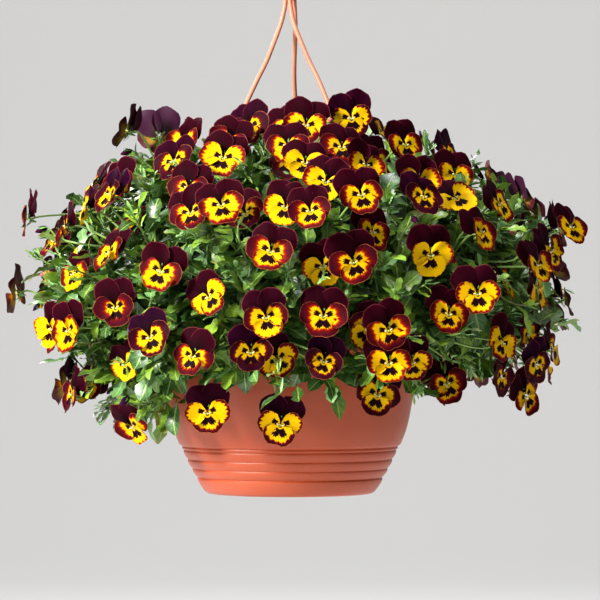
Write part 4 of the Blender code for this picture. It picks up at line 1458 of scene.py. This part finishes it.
@dataclass
class Greenery:
    """Leaves, stipules, stalks, sepals and buds, and the rule that sets them on the stems."""

    mound: Mound
    clearance: Clearance
    leaf: LeafShape = LeafShape()
    inner: LeafShape = LeafShape(rows=9, teeth=2.0)
    young: LeafShape = LeafShape(rows=8, teeth=2.0)
    lobe: LeafShape = LeafShape(rows=4, thickness=0.35 * MM, teeth=0.0)
    # room ahead of the faces: for leaves, for buds, and for tips and small parts
    leaf_room: float = 55 * MM
    bud_room: float = 30 * MM
    tip_room: float = 10 * MM
    tip_length: float = 8 * MM
    # shoots under the mound's shell; their depths are in millimetres
    shoot_tries: int = 5200
    shoot_spacing: float = 32.5 * MM
    shoot_hem: float = 8 * MM          # how far a tip stays over the mound's hem
    shoot_depths: Pair = (2, 34)
    shoot_crown: float = 40 * MM
    shoot_behind: float = 40           # millimetres from a tip back to where its stem is sought
    skirt_margin: Pair = (12, 8)       # under the skirt, and how much more in front
    # shoots round the pot's lip; their radii and heights are in millimetres
    rim_tries: int = 700
    rim_spacing: float = 29 * MM
    rim_hem: float = 14 * MM
    rim_tilts: Pair = (-50, -8)
    rim_radii: Pair = (158, 196)
    rim_heights: Pair = (122, 156)
    # a shoot's line: where it bends and how high, then how its tip end starts
    bend_share: float = 0.45
    bend_rise: float = 0.10
    end_share: float = 0.35
    end_length: float = 24 * MM
    shoot_steps: int = 8
    shoot_radius: float = 1.5          # millimetres at its root, and how much less at each step
    shoot_taper: float = 0.09
    # leaves: lengths are in millimetres, widths and droops are shares of the length
    leaf_turn: float = math.radians(137.5)
    leaf_widths: Pair = (0.20, 0.27)
    leaf_droops: Pair = (0.0, 0.32)
    open_angles: Pair = (48, 80)
    open_closing: float = 34           # how much less the youngest leaf opens
    shoot_leaves: tuple[int, int] = (9, 11)
    shoot_lengths: Pair = (33, 51)
    spiral_length: float = 46 * MM
    base_lengths: Pair = (34, 50)
    inner_leaves: int = 22
    inner_lengths: Pair = (44, 64)
    withered_from: float = 0.9         # leaves whose tips have withered may hang under the hem
    lobe_lengths: Pair = (9, 17)
    lobe_width: float = 0.13
    young_lengths: Pair = (10, 18)
    young_width: float = 0.18
    tuft_leaves: int = 3
    # buds, sepals and the blooms' stalks
    bud_share: float = 0.3
    pale_buds: float = 0.3
    bud_lengths: Pair = (9, 13)
    bud_stalks: Pair = (12, 20)
    # along a bud: share of its length, and radius as a share of it
    bud_line: Rows = (
        (0, 0.10), (0.15, 0.22), (0.4, 0.27), (0.65, 0.22), (0.85, 0.13), (1.0, 0.03),
    )
    sepals: int = 5
    sepal_width: float = 0.15
    sepal_length: float = 10 * MM
    sepal_spread: float = 0.62
    stalk_seats: tuple[float, ...] = (0.15, 0.5, 0.85)
    # millimetres from the throat back to the neck and the hook, and up to the hook
    stalk_neck: float = 5.5
    stalk_hook: float = 13
    stalk_rise: float = 3
    stalk_steps: int = 10
    stalk_radius: float = 1.05 * MM
    spur_radii: tuple[float, ...] = (1.5, 1.5, 1.2, 0.5)

    def __post_init__(self) -> None:
        """Build the greens."""
        self.rng = random.Random(SEED + 2)
        self.leaf_total = 0
        self.leaf_skin = LeafSkin("leaf_upper", (0.017, 0.062, 0.007), (0.47, 0.78, 0.045),
                                  (0.46, 0.72, 0.15), (0.30, 0.62, 0.23), 0.30).build()
        self.under_skin = LeafSkin("leaf_under", (0.022, 0.075, 0.010), (0.34, 0.58, 0.06),
                                   (0.38, 0.60, 0.14), (0.29, 0.53, 0.21), 0.42).build()
        self.stem_skin = StemSkin("stem_green", (0.16, 0.27, 0.055), (0.12, 0.03, 0.05)).build()
        self.sepal_skin = StemSkin("sepal_green", (0.11, 0.27, 0.05), (0.05, 0.05, 0.04)).build()
        self.bud_skin = VelvetPetal("bud_petal", (0.012, 0.002, 0.012), (0.06, 0.004, 0.03),
                                    (0.04, 0.005, 0.06)).build()
        self.pale_bud_skin = PetalBack("bud_yellow", (0.70, 0.42, 0.05), (0.45, 0.10, 0.12), 0.55).build()

    def shoots(self, sprays: list[Spray]) -> dict[str, list[Shoot]]:
        """Set leafy shoots evenly just under the mound's shell.

        Args:
            sprays: The main stems.

        Returns:
            For each spray's node, its shoots' roots, tips and directions.
        """
        rng = self.rng
        grown: dict[str, list[Shoot]] = {spray.node: [] for spray in sprays}
        tips: list[Vector] = []

        def grow(tip: Vector, aim: Vector, behind: Vector, spacing: float, margin: float) -> None:
            """Grow a shoot where its tip is apart from the others, over the hem and free.

            Args:
                tip: Its tip.
                aim: The way its tip points.
                behind: The place nearest to which its main stem is sought.
                spacing: The least distance from another tip.
                margin: How far it stays over the hem.
            """
            crowded = any((tip - other).length < spacing for other in tips)
            if crowded or tip.z < self.mound.hem(tip.x) + margin:
                return
            if self.clearance.is_free(np.array([tip, tip - aim * self.tip_length]), self.tip_room):
                root, spray = self._nearest(sprays, behind)
                tips.append(tip)
                grown[spray.node].append((root, tip, aim))

        for _ in range(self.rim_tries):
            azimuth = rng.uniform(0, 360)
            aim = direction(azimuth + rng.gauss(0, 20), rng.uniform(*self.rim_tilts))
            tip = polar(rng.uniform(*self.rim_radii) * MM, azimuth, rng.uniform(*self.rim_heights) * MM)
            grow(tip, aim, tip - aim * 30 * MM + UP * 20 * MM, self.rim_spacing, self.rim_hem)
        for _ in range(self.shoot_tries):
            azimuth = rng.uniform(0, 360)
            radius, height = self.mound.place(rng.random())
            depth = rng.uniform(*self.shoot_depths) * MM
            if rng.random() > max(radius, self.shoot_crown) / self.mound.widest[1]:
                continue
            margin, more = self.skirt_margin
            front = max(0.0, -math.sin(math.radians(azimuth)))
            if height < self.mound.skirt_height(azimuth) - (margin + more * front) * MM:
                continue
            elevation, rise = self.mound.elevation(height)
            aim = direction(azimuth + rng.gauss(0, 22), elevation + 24 * rise + rng.gauss(6, 16))
            shell = polar(radius, azimuth, height, self.mound.axis_x)
            tip = shell - self.mound.outward(azimuth, rise) * depth
            grow(tip, aim, tip - aim * self.shoot_behind * MM, self.shoot_spacing, self.shoot_hem)
        LOG.info("%d shoots", len(tips))
        return grown

    @staticmethod
    def _nearest(sprays: list[Spray], point: Vector) -> tuple[Vector, Spray]:
        """Return the nearest place on a main stem, and its spray.

        Args:
            sprays: The main stems.
            point: Where to look from.

        Returns:
            The place and the spray.
        """
        best = (math.inf, point, sprays[0])
        for spray in sprays:
            for start, end in zip(spray.path[1:], spray.path[2:]):
                share = (point - start).dot(end - start) / (end - start).length_squared
                closest = start.lerp(end, min(max(share, 0.0), 1.0))
                apart = (closest - point).length
                if apart < best[0]:
                    best = (apart, closest, spray)
        return best[1], best[2]

    def add_stem(self, bench: Bench, spray: Spray, sizes: Sprays) -> None:
        """Add a spray's main stem.

        Args:
            bench: The piece.
            spray: The spray.
            sizes: The stems' sizes.
        """
        path = smooth_path(spray.path, 4)
        share = [k / (len(path) - 1) for k in range(len(path))]
        radii = [(sizes.root_radius + (sizes.tip_radius - sizes.root_radius) * s) * 0.8 for s in share]
        bench.tube(path, radii, 8, self.stem_skin, (0.3, 0.8))
        rng = self.rng
        turn = rng.uniform(0, math.tau)
        for k in range(self.inner_leaves):
            place = 3 + (len(path) - 5) * k / (self.inner_leaves - 1)
            start, end = path[int(place)], path[int(place) + 1]
            along = (end - start).normalized()
            turn += self.leaf_turn
            out = Matrix.Rotation(turn, 3, along) @ along.orthogonal().normalized()
            aim = (out + along * rng.uniform(0.1, 0.7)).normalized()
            root = start.lerp(end, place % 1)
            # these inner leaves sit deep in the mound, so a low value paints them dark as shade
            self._add_leaf(bench, self.inner, root, aim, along, rng.uniform(*self.inner_lengths) * MM, 0.15)

    def add_shoot(self, bench: Bench, root: Vector, tip: Vector, aim: Vector) -> None:
        """Add a side shoot with its spiral of leaves, stipules and perhaps a bud.

        Args:
            bench: The piece.
            root: Where it leaves its main stem.
            tip: Its tip.
            aim: The way its tip points.
        """
        rng = self.rng
        reach = (tip - root).length
        bend = root.lerp(tip, self.bend_share) + UP * (self.bend_rise * reach)
        start = tip - aim * min(self.end_share * reach, self.end_length)
        steps = self.shoot_steps
        path = [bezier([root, bend, start, tip], k / (steps - 1)) for k in range(steps)]
        radii = [(self.shoot_radius - self.shoot_taper * k) * MM for k in range(steps)]
        bench.tube(path, radii, 6, self.stem_skin, (0.6, rng.random()))
        turn = rng.uniform(0, math.tau)
        side = aim.orthogonal().normalized()
        count = rng.randint(*self.shoot_leaves)
        for k in range(count):
            share = k / (count - 1)
            back = self.spiral_length * (1 - share) ** 1.1
            place = tip - aim * min(back, 0.7 * reach)
            turn += self.leaf_turn
            out = (Matrix.Rotation(turn, 3, aim) @ side).normalized()
            open_angle = math.radians(rng.uniform(*self.open_angles) - self.open_closing * share)
            leaf_aim = (aim * math.cos(open_angle) + out * math.sin(open_angle)).normalized()
            length = rng.uniform(*self.shoot_lengths) * MM * (1 - 0.42 * share)
            shape = self.leaf if share > 0.3 else self.inner
            # leaves further back from the shoot's tip are painted darker, as older and as shade
            self._add_leaf(bench, shape, place, leaf_aim, aim, length, 0.45 + 0.55 * share)
        for place in path[2:6]:
            turn += self.leaf_turn
            out = (Matrix.Rotation(turn, 3, aim) @ side).normalized()
            # the base leaves sit deep in the mound, so a low value paints them dark as shade
            self._add_leaf(bench, self.inner, place, (out + aim * 0.4).normalized(), aim,
                           rng.uniform(*self.base_lengths) * MM, 0.2)
        self._add_bud_or_tuft(bench, tip, aim)

    def _add_leaf(self, bench: Bench, shape: LeafShape, root: Vector, aim: Vector, stem_aim: Vector,
                  length: float, youth_and_light: float) -> None:
        """Add one leaf where it fits, with the lobes of its stipule; the older it is and the deeper in the
        mound, the darker, the depth's darkness being painted shade.

        Args:
            bench: The piece.
            shape: The leaf's shape.
            root: Where it leaves its stem.
            aim: The way it points.
            stem_aim: The way its stem points there.
            length: Its length.
            youth_and_light: How young it is and how little painted shade it takes, from 0 to 1: the higher,
                the brighter.
        """
        rng = self.rng
        stray = Vector((rng.uniform(-0.3, 0.3), rng.uniform(-0.3, 0.3), 0))
        upper = (UP * 0.8 + stem_aim * 0.7 + stray).normalized()
        if abs(aim.dot(upper)) > 0.93:
            upper = stem_aim
        width = length * rng.uniform(*self.leaf_widths)
        grid, blade = shape.grid(root, aim, upper, length, width, rng.uniform(*self.leaf_droops), rng)
        probe = np.vstack([grid[2:, 1], grid[4::2, 0], grid[4::2, 2]])
        # a low first tone paints old leaves darker, and those deep in the mound darker as painted shade
        tone = (rng.random() * youth_and_light, rng.random())
        hangs_low = tone[1] < self.withered_from and bool(np.any(grid[:, 1, 2] < self.mound.hem(root.x)))
        if not hangs_low and self.clearance.is_free(probe, self.leaf_room):
            bench.sheet(grid, blade, blade, shape.thickness, tone, self.leaf_skin, self.under_skin)
            self.leaf_total += 1
        if shape is not self.leaf:
            return
        for _ in range(1 if rng.random() < 0.7 else 2):
            lobe_aim = strayed(aim, 0.5, rng)
            size = rng.uniform(*self.lobe_lengths) * MM
            grid, blade = self.lobe.grid(root, lobe_aim, upper, size, size * self.lobe_width, 0.15, rng)
            if self.clearance.is_free(grid[:, 1], self.tip_room):
                bench.sheet(grid, blade, blade, self.lobe.thickness, tone, self.leaf_skin, self.under_skin)

    def _add_bud_or_tuft(self, bench: Bench, tip: Vector, aim: Vector) -> None:
        """Add a bud on its own stalk, or a tuft of young leaves, at a shoot's tip.

        Args:
            bench: The piece.
            tip: The shoot's tip.
            aim: The way it points.
        """
        rng = self.rng
        if rng.random() < self.bud_share:
            head = tip + (aim + UP * 0.4).normalized() * rng.uniform(*self.bud_stalks) * MM
            droop = (aim - UP * 0.8).normalized()
            probe = np.array([head, head + droop * 6 * MM, head + droop * 14 * MM])
            if self.clearance.is_free(probe, self.bud_room):
                self._add_bud(bench, tip, head, droop)
                return
        for _ in range(self.tuft_leaves):
            young = strayed(aim, 0.4, rng)
            size = rng.uniform(*self.young_lengths) * MM
            grid, blade = self.young.grid(tip, young, UP, size, size * self.young_width, 0.1, rng)
            if self.clearance.is_free(grid[:, 1], self.tip_room):
                bench.sheet(grid, blade, blade, self.young.thickness, (0.95, 0.3),
                            self.leaf_skin, self.under_skin)

    def _add_bud(self, bench: Bench, root: Vector, head: Vector, droop: Vector) -> None:
        """Add a nodding bud: its stalk, furled petals and pointed sepals.

        Args:
            bench: The piece.
            root: Where its stalk starts.
            head: Where the bud starts.
            droop: The way it nods.
        """
        rng = self.rng
        path = [bezier([root, root.lerp(head, 0.8) + UP * 3 * MM, head], step / 5) for step in range(6)]
        bench.tube(path, [0.8 * MM] * 6, 6, self.stem_skin, (0.8, 0.3))
        length = rng.uniform(*self.bud_lengths) * MM
        line = [head + droop * (length * along) for along, _ in self.bud_line]
        radii = [length * radius for _, radius in self.bud_line]
        skin = self.pale_bud_skin if rng.random() < self.pale_buds else self.bud_skin
        bench.tube(line, radii, 9, skin, (0.5, rng.random()))
        self.add_sepals(bench, head, droop, length * 0.8, 0.30)

    def add_sepals(self, bench: Bench, place: Vector, aim: Vector, length: float, spread: float) -> None:
        """Add five pointed sepals round a flower's or a bud's neck.

        Args:
            bench: The piece.
            place: The neck.
            aim: The way the sepals point.
            length: Their length.
            spread: How far they lean out, from 0 to 1.
        """
        side = aim.orthogonal().normalized()
        for k in range(self.sepals):
            out = Matrix.Rotation(math.tau * k / self.sepals, 3, aim) @ side
            way = (aim * (1 - spread) + out * spread).normalized()
            root = place + out * (0.11 * length) - aim * (0.12 * length)
            grid, blade = self.lobe.grid(root, way, out, length, length * self.sepal_width, 0.05, self.rng)
            bench.sheet(grid, blade, blade, self.lobe.thickness, (0.6, 0.4), self.sepal_skin, self.sepal_skin)

    def add_stalk(self, bench: Bench, spray: Spray, bloom: Bloom) -> None:
        """Add a bloom's stalk from its spray's stem, arched over behind the head, with sepals and spur.

        Args:
            bench: The piece.
            spray: The spray that carries it.
            bloom: The bloom.
        """
        seats = [start.lerp(end, share) for start, end in zip(spray.path[2:], spray.path[3:])
                 for share in self.stalk_seats]
        root = min(seats, key=lambda point: self._stalk_cost(point, bloom))
        throat = bloom.centre + bloom.up * (PansyHead.throat_y * bloom.radius)
        neck = throat - bloom.facing * self.stalk_neck * MM
        hook = throat - bloom.facing * self.stalk_hook * MM + bloom.up * self.stalk_rise * MM
        bends = [root, root.lerp(hook, 0.6), hook + (hook - neck) * 0.4, hook + bloom.up * 2 * MM, neck]
        last = self.stalk_steps - 1
        path = [bezier(bends, k / last) for k in range(self.stalk_steps)]
        bench.tube(path, [self.stalk_radius] * last + [0.9 * MM], 7, self.stem_skin, (0.7, self.rng.random()))
        self.add_sepals(bench, neck, bloom.facing, self.sepal_length, self.sepal_spread)
        spur = [neck + bloom.facing * (2 - 2.4 * k) * MM - bloom.up * (1.4 + 0.3 * k) * MM
                for k in range(len(self.spur_radii))]
        bench.tube(spur, [radius * MM for radius in self.spur_radii], 7, self.sepal_skin, (0.7, 0.9))

    @staticmethod
    def _stalk_cost(point: Vector, bloom: Bloom) -> float:
        """Return how far a root is from a bloom's hook, dearer where its stalk would double back."""
        away = bloom.hook - point
        doubles_back = away.normalized().dot(bloom.facing) < -0.2 or away.length < 15 * MM
        return away.length + (1.0 if doubles_back else 0.0)


# ---------------- pot and soil


@dataclass
class Pot:
    """The turned plastic pot with its grooves, ears and drain holes."""

    steps: int = 112
    ear_radius: float = 6.5 * MM
    ear_thickness: float = 4 * MM
    ear_hole: float = 2.9 * MM
    ear_drop: float = 0.4 * MM
    ear_sides: int = 32
    drain_radius: float = 1.8 * MM
    drain_circle: float = 60 * MM
    drains: int = 4
    hole_sides: int = 20
    crease: float = 38.0               # degrees from which an edge is drawn sharp
    # the outline as heights and radii in millimetres, from the inside over the lip and down outside
    inside: Rows = (
        (3.0, 0.0), (3.0, 82.0), (47, 105.2), (60, 112), (95, 120.6), (147.4, 127.1),
    )
    lip: Rows = (
        (147.9, 127.6), (148.0, 128.4), (148.0, 130.6), (147.7, 131.3), (147.0, 131.5),
        (143.9, 131.5), (143.2, 131.2), (142.7, 130.2), (142.2, 129.0),
    )
    wall: Rows = (
        (140, 128.5), (125, 127.3), (110, 125.7), (100, 124.0), (90, 122), (80, 120.2), (70.5, 118.2),
        (62, 115.8), (55, 113.2), (50.5, 111.2), (48.8, 110.2), (48.1, 109.4), (47.7, 108.2), (47.2, 107.5),
        (46.6, 107.6), (45.8, 107.9), (44.8, 107.6), (44.2, 106.8),
    )
    grooves: Rows = ((43.5, 106.5), (34.3, 102.5), (25.1, 98.0), (15.9, 92.5))
    rib_points: int = 9
    rib_swell: float = 1.5
    rib_dip: float = 0.7
    foot: Rows = (
        (15.9, 91.7), (14.6, 92.5), (13.2, 92.3), (10.0, 90.6), (6.0, 88.0), (3.6, 86.2), (1.6, 84.2),
        (0.4, 82.2), (0.0, 80.0), (0.0, 76.5), (1.0, 75.5), (1.0, 0.0),
    )

    def profile(self) -> list[Pair]:
        """Return the outline from the floor's middle, up inside, over the lip and down outside."""
        line = [(radius, height) for height, radius in (*self.inside, *self.lip, *self.wall)]
        for (high, wide), (low, slim) in zip(self.grooves, self.grooves[1:]):
            for k in range(self.rib_points):
                t = k / self.rib_points
                swell = self.rib_swell * math.sin(math.pi * t ** 0.8) ** 0.7 - self.rib_dip
                line.append((wide + (slim - wide) * t + swell, high + (low - high) * t))
        line += [(radius, height) for height, radius in self.foot]
        return [(radius * MM, height * MM) for radius, height in line]

    def build(self, hanger: Hanger, finish: Material) -> Object:
        """Build the pot and cut its holes.

        Args:
            hanger: The hanger, whose arms pass through the ears.
            finish: The pot's plastic.

        Returns:
            The pot.
        """
        bench = Bench("turned_pot")
        bench.turned(self.profile(), self.steps, finish)
        pot = bench.build(Slot.POT, ("pot",))
        ears, holes = [], []
        for azimuth in hanger.lug_azimuths.values():
            place = polar(hanger.lug_circle, azimuth, 0)
            top = POT_TOP - self.ear_drop
            bottom = top - self.ear_thickness + self.ear_drop
            ears.append((place, self.ear_radius, bottom, top, self.ear_sides))
            holes.append((place, self.ear_hole, POT_TOP - 12 * MM, POT_TOP + 8 * MM, self.hole_sides))
        for k in range(self.drains):
            place = polar(self.drain_circle, 45 + 360 * k / self.drains, 0)
            holes.append((place, self.drain_radius, -8 * MM, 12 * MM, 16))
        for operation, posts in (("UNION", ears), ("DIFFERENCE", holes)):
            tool = self._posts(posts)
            cut = pot.modifiers.new(operation.lower(), "BOOLEAN")
            cut.operation = operation
            cut.solver = "EXACT"
            cut.object = tool
            bpy.context.view_layer.update()
            shaped = bpy.data.meshes.new_from_object(pot.evaluated_get(bpy.context.evaluated_depsgraph_get()))
            pot.modifiers.clear()
            pot.data = shaped
            bpy.data.objects.remove(tool)
        pot.data.set_sharp_from_angle(angle=math.radians(self.crease))
        return pot

    @staticmethod
    def _posts(posts: list[tuple[Vector, float, float, float, int]]) -> Object:
        """Make one tool of upright round posts, each with its place, radius, bottom, top and sides.

        Args:
            posts: The posts.

        Returns:
            The tool.
        """
        bm = bmesh.new()
        for place, radius, low, high, sides in posts:
            middle = Matrix.Translation((place.x, place.y, (low + high) / 2 + POT_BASE_Z))
            bmesh.ops.create_cone(bm, cap_ends=True, segments=sides, radius1=radius, radius2=radius,
                                  depth=high - low, matrix=middle)
        mesh = bpy.data.meshes.new("posts")
        bm.to_mesh(mesh)
        bm.free()
        return show(bpy.data.objects.new("posts", mesh))


@dataclass
class Soil:
    """The potting mix: a lumpy top with bark and perlite in it."""

    steps: int = 72
    radius: float = 124.6 * MM
    rings: int = 22
    # radius and height of its side, from the edge of its top down to its underside
    side: Rows = (
        (120.0, 95.0), (111.4, 60.0), (104.6, 47.0), (81.4, 3.3), (0.0, 3.3),
    )
    edge_drop: float = 2 * MM
    lump: float = 2.2 * MM
    lump_pitch: float = 55.0
    sink: float = 1.5 * MM
    barks: int = 150
    bark_lengths: Pair = (2.5, 8)
    bark_radii: Pair = (0.7, 1.6)
    bark_line: Rows = ((-1, 0.5), (-0.5, 1), (0.5, 0.9), (1, 0.4))
    perlites: int = 110
    perlite_radii: Pair = (0.7, 1.7)
    perlite_line: Rows = ((-0.9, 0.4), (-0.5, 0.95), (0.4, 1), (0.9, 0.35))

    def build(self) -> Object:
        """Build the soil with the bits that lie on it."""
        mix = PottingMix("potting_mix_dark", (0.012, 0.008, 0.005), (0.05, 0.03, 0.018)).build()
        bark = PottingMix("bark_chip", (0.06, 0.03, 0.015), (0.16, 0.09, 0.045), 260.0).build()
        perlite = PottingMix("perlite_grain", (0.62, 0.60, 0.56), (0.8, 0.78, 0.74), 600.0).build()
        bench = Bench("potting_soil")
        profile = [(0.0, SOIL_TOP)]
        profile += [(self.radius * (k / self.rings), SOIL_TOP) for k in range(1, self.rings + 1)]
        profile.append((self.radius, SOIL_TOP - self.edge_drop))
        profile += [(radius * MM, height * MM) for radius, height in self.side]
        bench.turned(profile, self.steps, mix)
        for point in bench.points[0]:
            if point[2] > SOIL_TOP - self.edge_drop / 2:
                lump = noise.fractal(Vector(point) * self.lump_pitch, 0.8, 2.2, 4)
                point[2] += self.lump * (lump - 0.5) - self.sink
        rng = random.Random(SEED + 3)
        for _ in range(self.barks):
            place = self._spot(rng, 0.6 * MM)
            way = direction(rng.uniform(0, 360), rng.uniform(-18, 18))
            length = rng.uniform(*self.bark_lengths) * MM
            path = [place + way * (length * share) for share, _ in self.bark_line]
            thick = rng.uniform(*self.bark_radii) * MM
            bench.tube(path, [thick * share for _, share in self.bark_line], 5, bark)
        for _ in range(self.perlites):
            place = self._spot(rng, 0.8 * MM)
            size = rng.uniform(*self.perlite_radii) * MM
            path = [place + UP * (size * share) for share, _ in self.perlite_line]
            bench.tube(path, [size * share for _, share in self.perlite_line], 6, perlite)
        return bench.build(Slot.SOIL, ("soil",))

    def _spot(self, rng: random.Random, depth: float) -> Vector:
        """Return a random place at a depth in the soil's top."""
        return polar(self.radius * 0.96 * math.sqrt(rng.random()), rng.uniform(0, 360), SOIL_TOP - depth)


# ---------------- studio


@dataclass
class Studio:
    """The pale floor, the lights and the camera."""

    floor_drop: float = 0.62
    flat_radius: float = 7.0
    cove_radius: float = 4.0
    cove_steps: int = 12
    floor_turn: int = 96
    camera_x: float = 10 * MM
    camera_distance: float = 3.7
    camera_height: float = 193 * MM
    lens: float = 222.0
    sensor: float = 36.0
    air: tuple[float, ...] = (0.93, 0.96, 1.0, 1.0)
    air_strength: float = 0.17
    basket: Point = (0.0, 0.0, POT_BASE_Z + 200 * MM)
    backdrop: Point = (0.0, 11.0, 0.6)

    def lamps(self) -> tuple[tuple, ...]:
        """Return each lamp's name, place, target, size, power and colour."""
        return (
            ("key", (-3.1, -2.4, 1.35), self.basket, 1.0, 420.0, (1.0, 0.97, 0.92)),
            ("fill", (2.8, -2.2, 0.5), self.basket, 2.0, 4.0, (0.92, 0.96, 1.0)),
            ("top", (0.0, -0.4, 2.9), self.basket, 1.2, 95.0, (0.96, 0.98, 1.0)),
            ("rim", (-1.2, 3.0, 1.4), self.basket, 1.4, 80.0, (1.0, 1.0, 1.0)),
            ("backdrop", (0.0, 3.5, 2.6), self.backdrop, 3.0, 320.0, (1.0, 1.0, 1.0)),
        )

    def build(self) -> None:
        """Set up the floor, the light and the camera."""
        self._floor()
        world = bpy.data.worlds.new("studio_air")
        world.use_nodes = True
        air = world.node_tree.nodes["Background"]
        air.inputs["Color"].default_value = self.air
        air.inputs["Strength"].default_value = self.air_strength
        bpy.context.scene.world = world
        for lamp in self.lamps():
            self._lamp(*lamp)
        eye = bpy.data.cameras.new("front_camera")
        eye.lens = self.lens
        eye.sensor_width = self.sensor
        eye.clip_end = 60.0
        camera = show(bpy.data.objects.new("front_camera", eye))
        camera.location = (self.camera_x, -self.camera_distance, POT_BASE_Z + self.camera_height)
        camera.rotation_euler = (math.radians(90), 0, 0)
        bpy.context.scene.camera = camera
        bpy.context.scene.view_settings.view_transform = "Standard"

    def _floor(self) -> None:
        """Build the floor with the cove that curves up all round it."""
        profile = [(0.0, 0.0), (self.flat_radius, 0.0)]
        for k in range(1, self.cove_steps + 1):
            turn = math.radians(90 * k / self.cove_steps)
            profile.append((self.flat_radius + self.cove_radius * math.sin(turn),
                            self.cove_radius * (1 - math.cos(turn))))
        steps = self.floor_turn
        points, faces = [(0.0, 0.0, 0.0)], []
        for radius, height in profile[1:]:
            points += [tuple(polar(radius, 360 * k / steps, height)) for k in range(steps)]
        for k in range(steps):
            n = (k + 1) % steps
            faces.append((0, 1 + k, 1 + n))
            faces += [(1 + ring * steps + k, 1 + (ring + 1) * steps + k, 1 + (ring + 1) * steps + n,
                       1 + ring * steps + n) for ring in range(len(profile) - 2)]
        mesh = bpy.data.meshes.new("studio_floor")
        mesh.from_pydata(points, [], faces)
        mesh.polygons.foreach_set("use_smooth", [True] * len(faces))
        mesh.materials.append(StudioPaper().build())
        floor = show(bpy.data.objects.new("studio_floor", mesh))
        floor.location = (0, 0, POT_BASE_Z - self.floor_drop)

    @staticmethod
    def _lamp(name: str, place: Point, target: Point,
              size: float, power: float, colour: Colour) -> None:
        """Add a soft square lamp that looks at a target.

        Args:
            name: Its name.
            place: Where it hangs.
            target: What it looks at.
            size: Its width.
            power: Its power in watts.
            colour: Its colour.
        """
        light = bpy.data.lights.new(name, "AREA")
        light.size = size
        light.energy = power
        light.color = colour
        lamp = show(bpy.data.objects.new(name, light))
        lamp.location = place
        lamp.rotation_euler = (Vector(target) - Vector(place)).to_track_quat("-Z", "Y").to_euler()


def main() -> None:
    """Build the pot, the soil, the hanger, the blooms and the greenery, and set up the studio."""
    logging.basicConfig(level=logging.INFO, format="%(message)s")
    terracotta = MouldedPlastic("terracotta_plastic_satin", (0.44, 0.067, 0.020), (0.48, 0.10, 0.040))
    salmon = MouldedPlastic("hanger_plastic_satin", (0.66, 0.23, 0.14), (0.72, 0.32, 0.22), 0.38, 0.15)
    hanger = Hanger()
    Pot().build(hanger, terracotta.build())
    LOG.info("pot")
    Soil().build()
    LOG.info("soil")
    hanger.build(salmon.build())
    LOG.info("hanger")
    mound = Mound(hanger)
    blooms = mound.blooms()
    sizes = Sprays(mound)
    sprays = sizes.plan()
    head = PansyHead()
    greenery = Greenery(mound, Clearance(blooms, hanger))
    shoots = greenery.shoots(sprays)
    carried: dict[str, list[Bloom]] = {spray.node: [] for spray in sprays}
    for bloom in blooms:
        carried[sizes.owner(sprays, bloom).node].append(bloom)
    rng = random.Random(SEED + 4)
    for spray in sprays:
        leafy = Bench(f"leaves_{spray.node}")
        greenery.add_stem(leafy, spray, sizes)
        for root, tip, aim in shoots[spray.node]:
            greenery.add_shoot(leafy, root, tip, aim)
        for bloom in carried[spray.node]:
            greenery.add_stalk(leafy, spray, bloom)
        leafy.build(Slot.GREENERY, (spray.node,))
        if carried[spray.node]:
            flowers = Bench(f"blooms_{spray.node}")
            for bloom in carried[spray.node]:
                head.add(flowers, bloom, rng)
            flowers.build(Slot.PETALS, (spray.node,))
        LOG.info("%s: %d blooms, %d shoots", spray.node, len(carried[spray.node]), len(shoots[spray.node]))
    LOG.info("%d leaves", greenery.leaf_total)
    Studio().build()


if __name__ == "__main__":
    main()
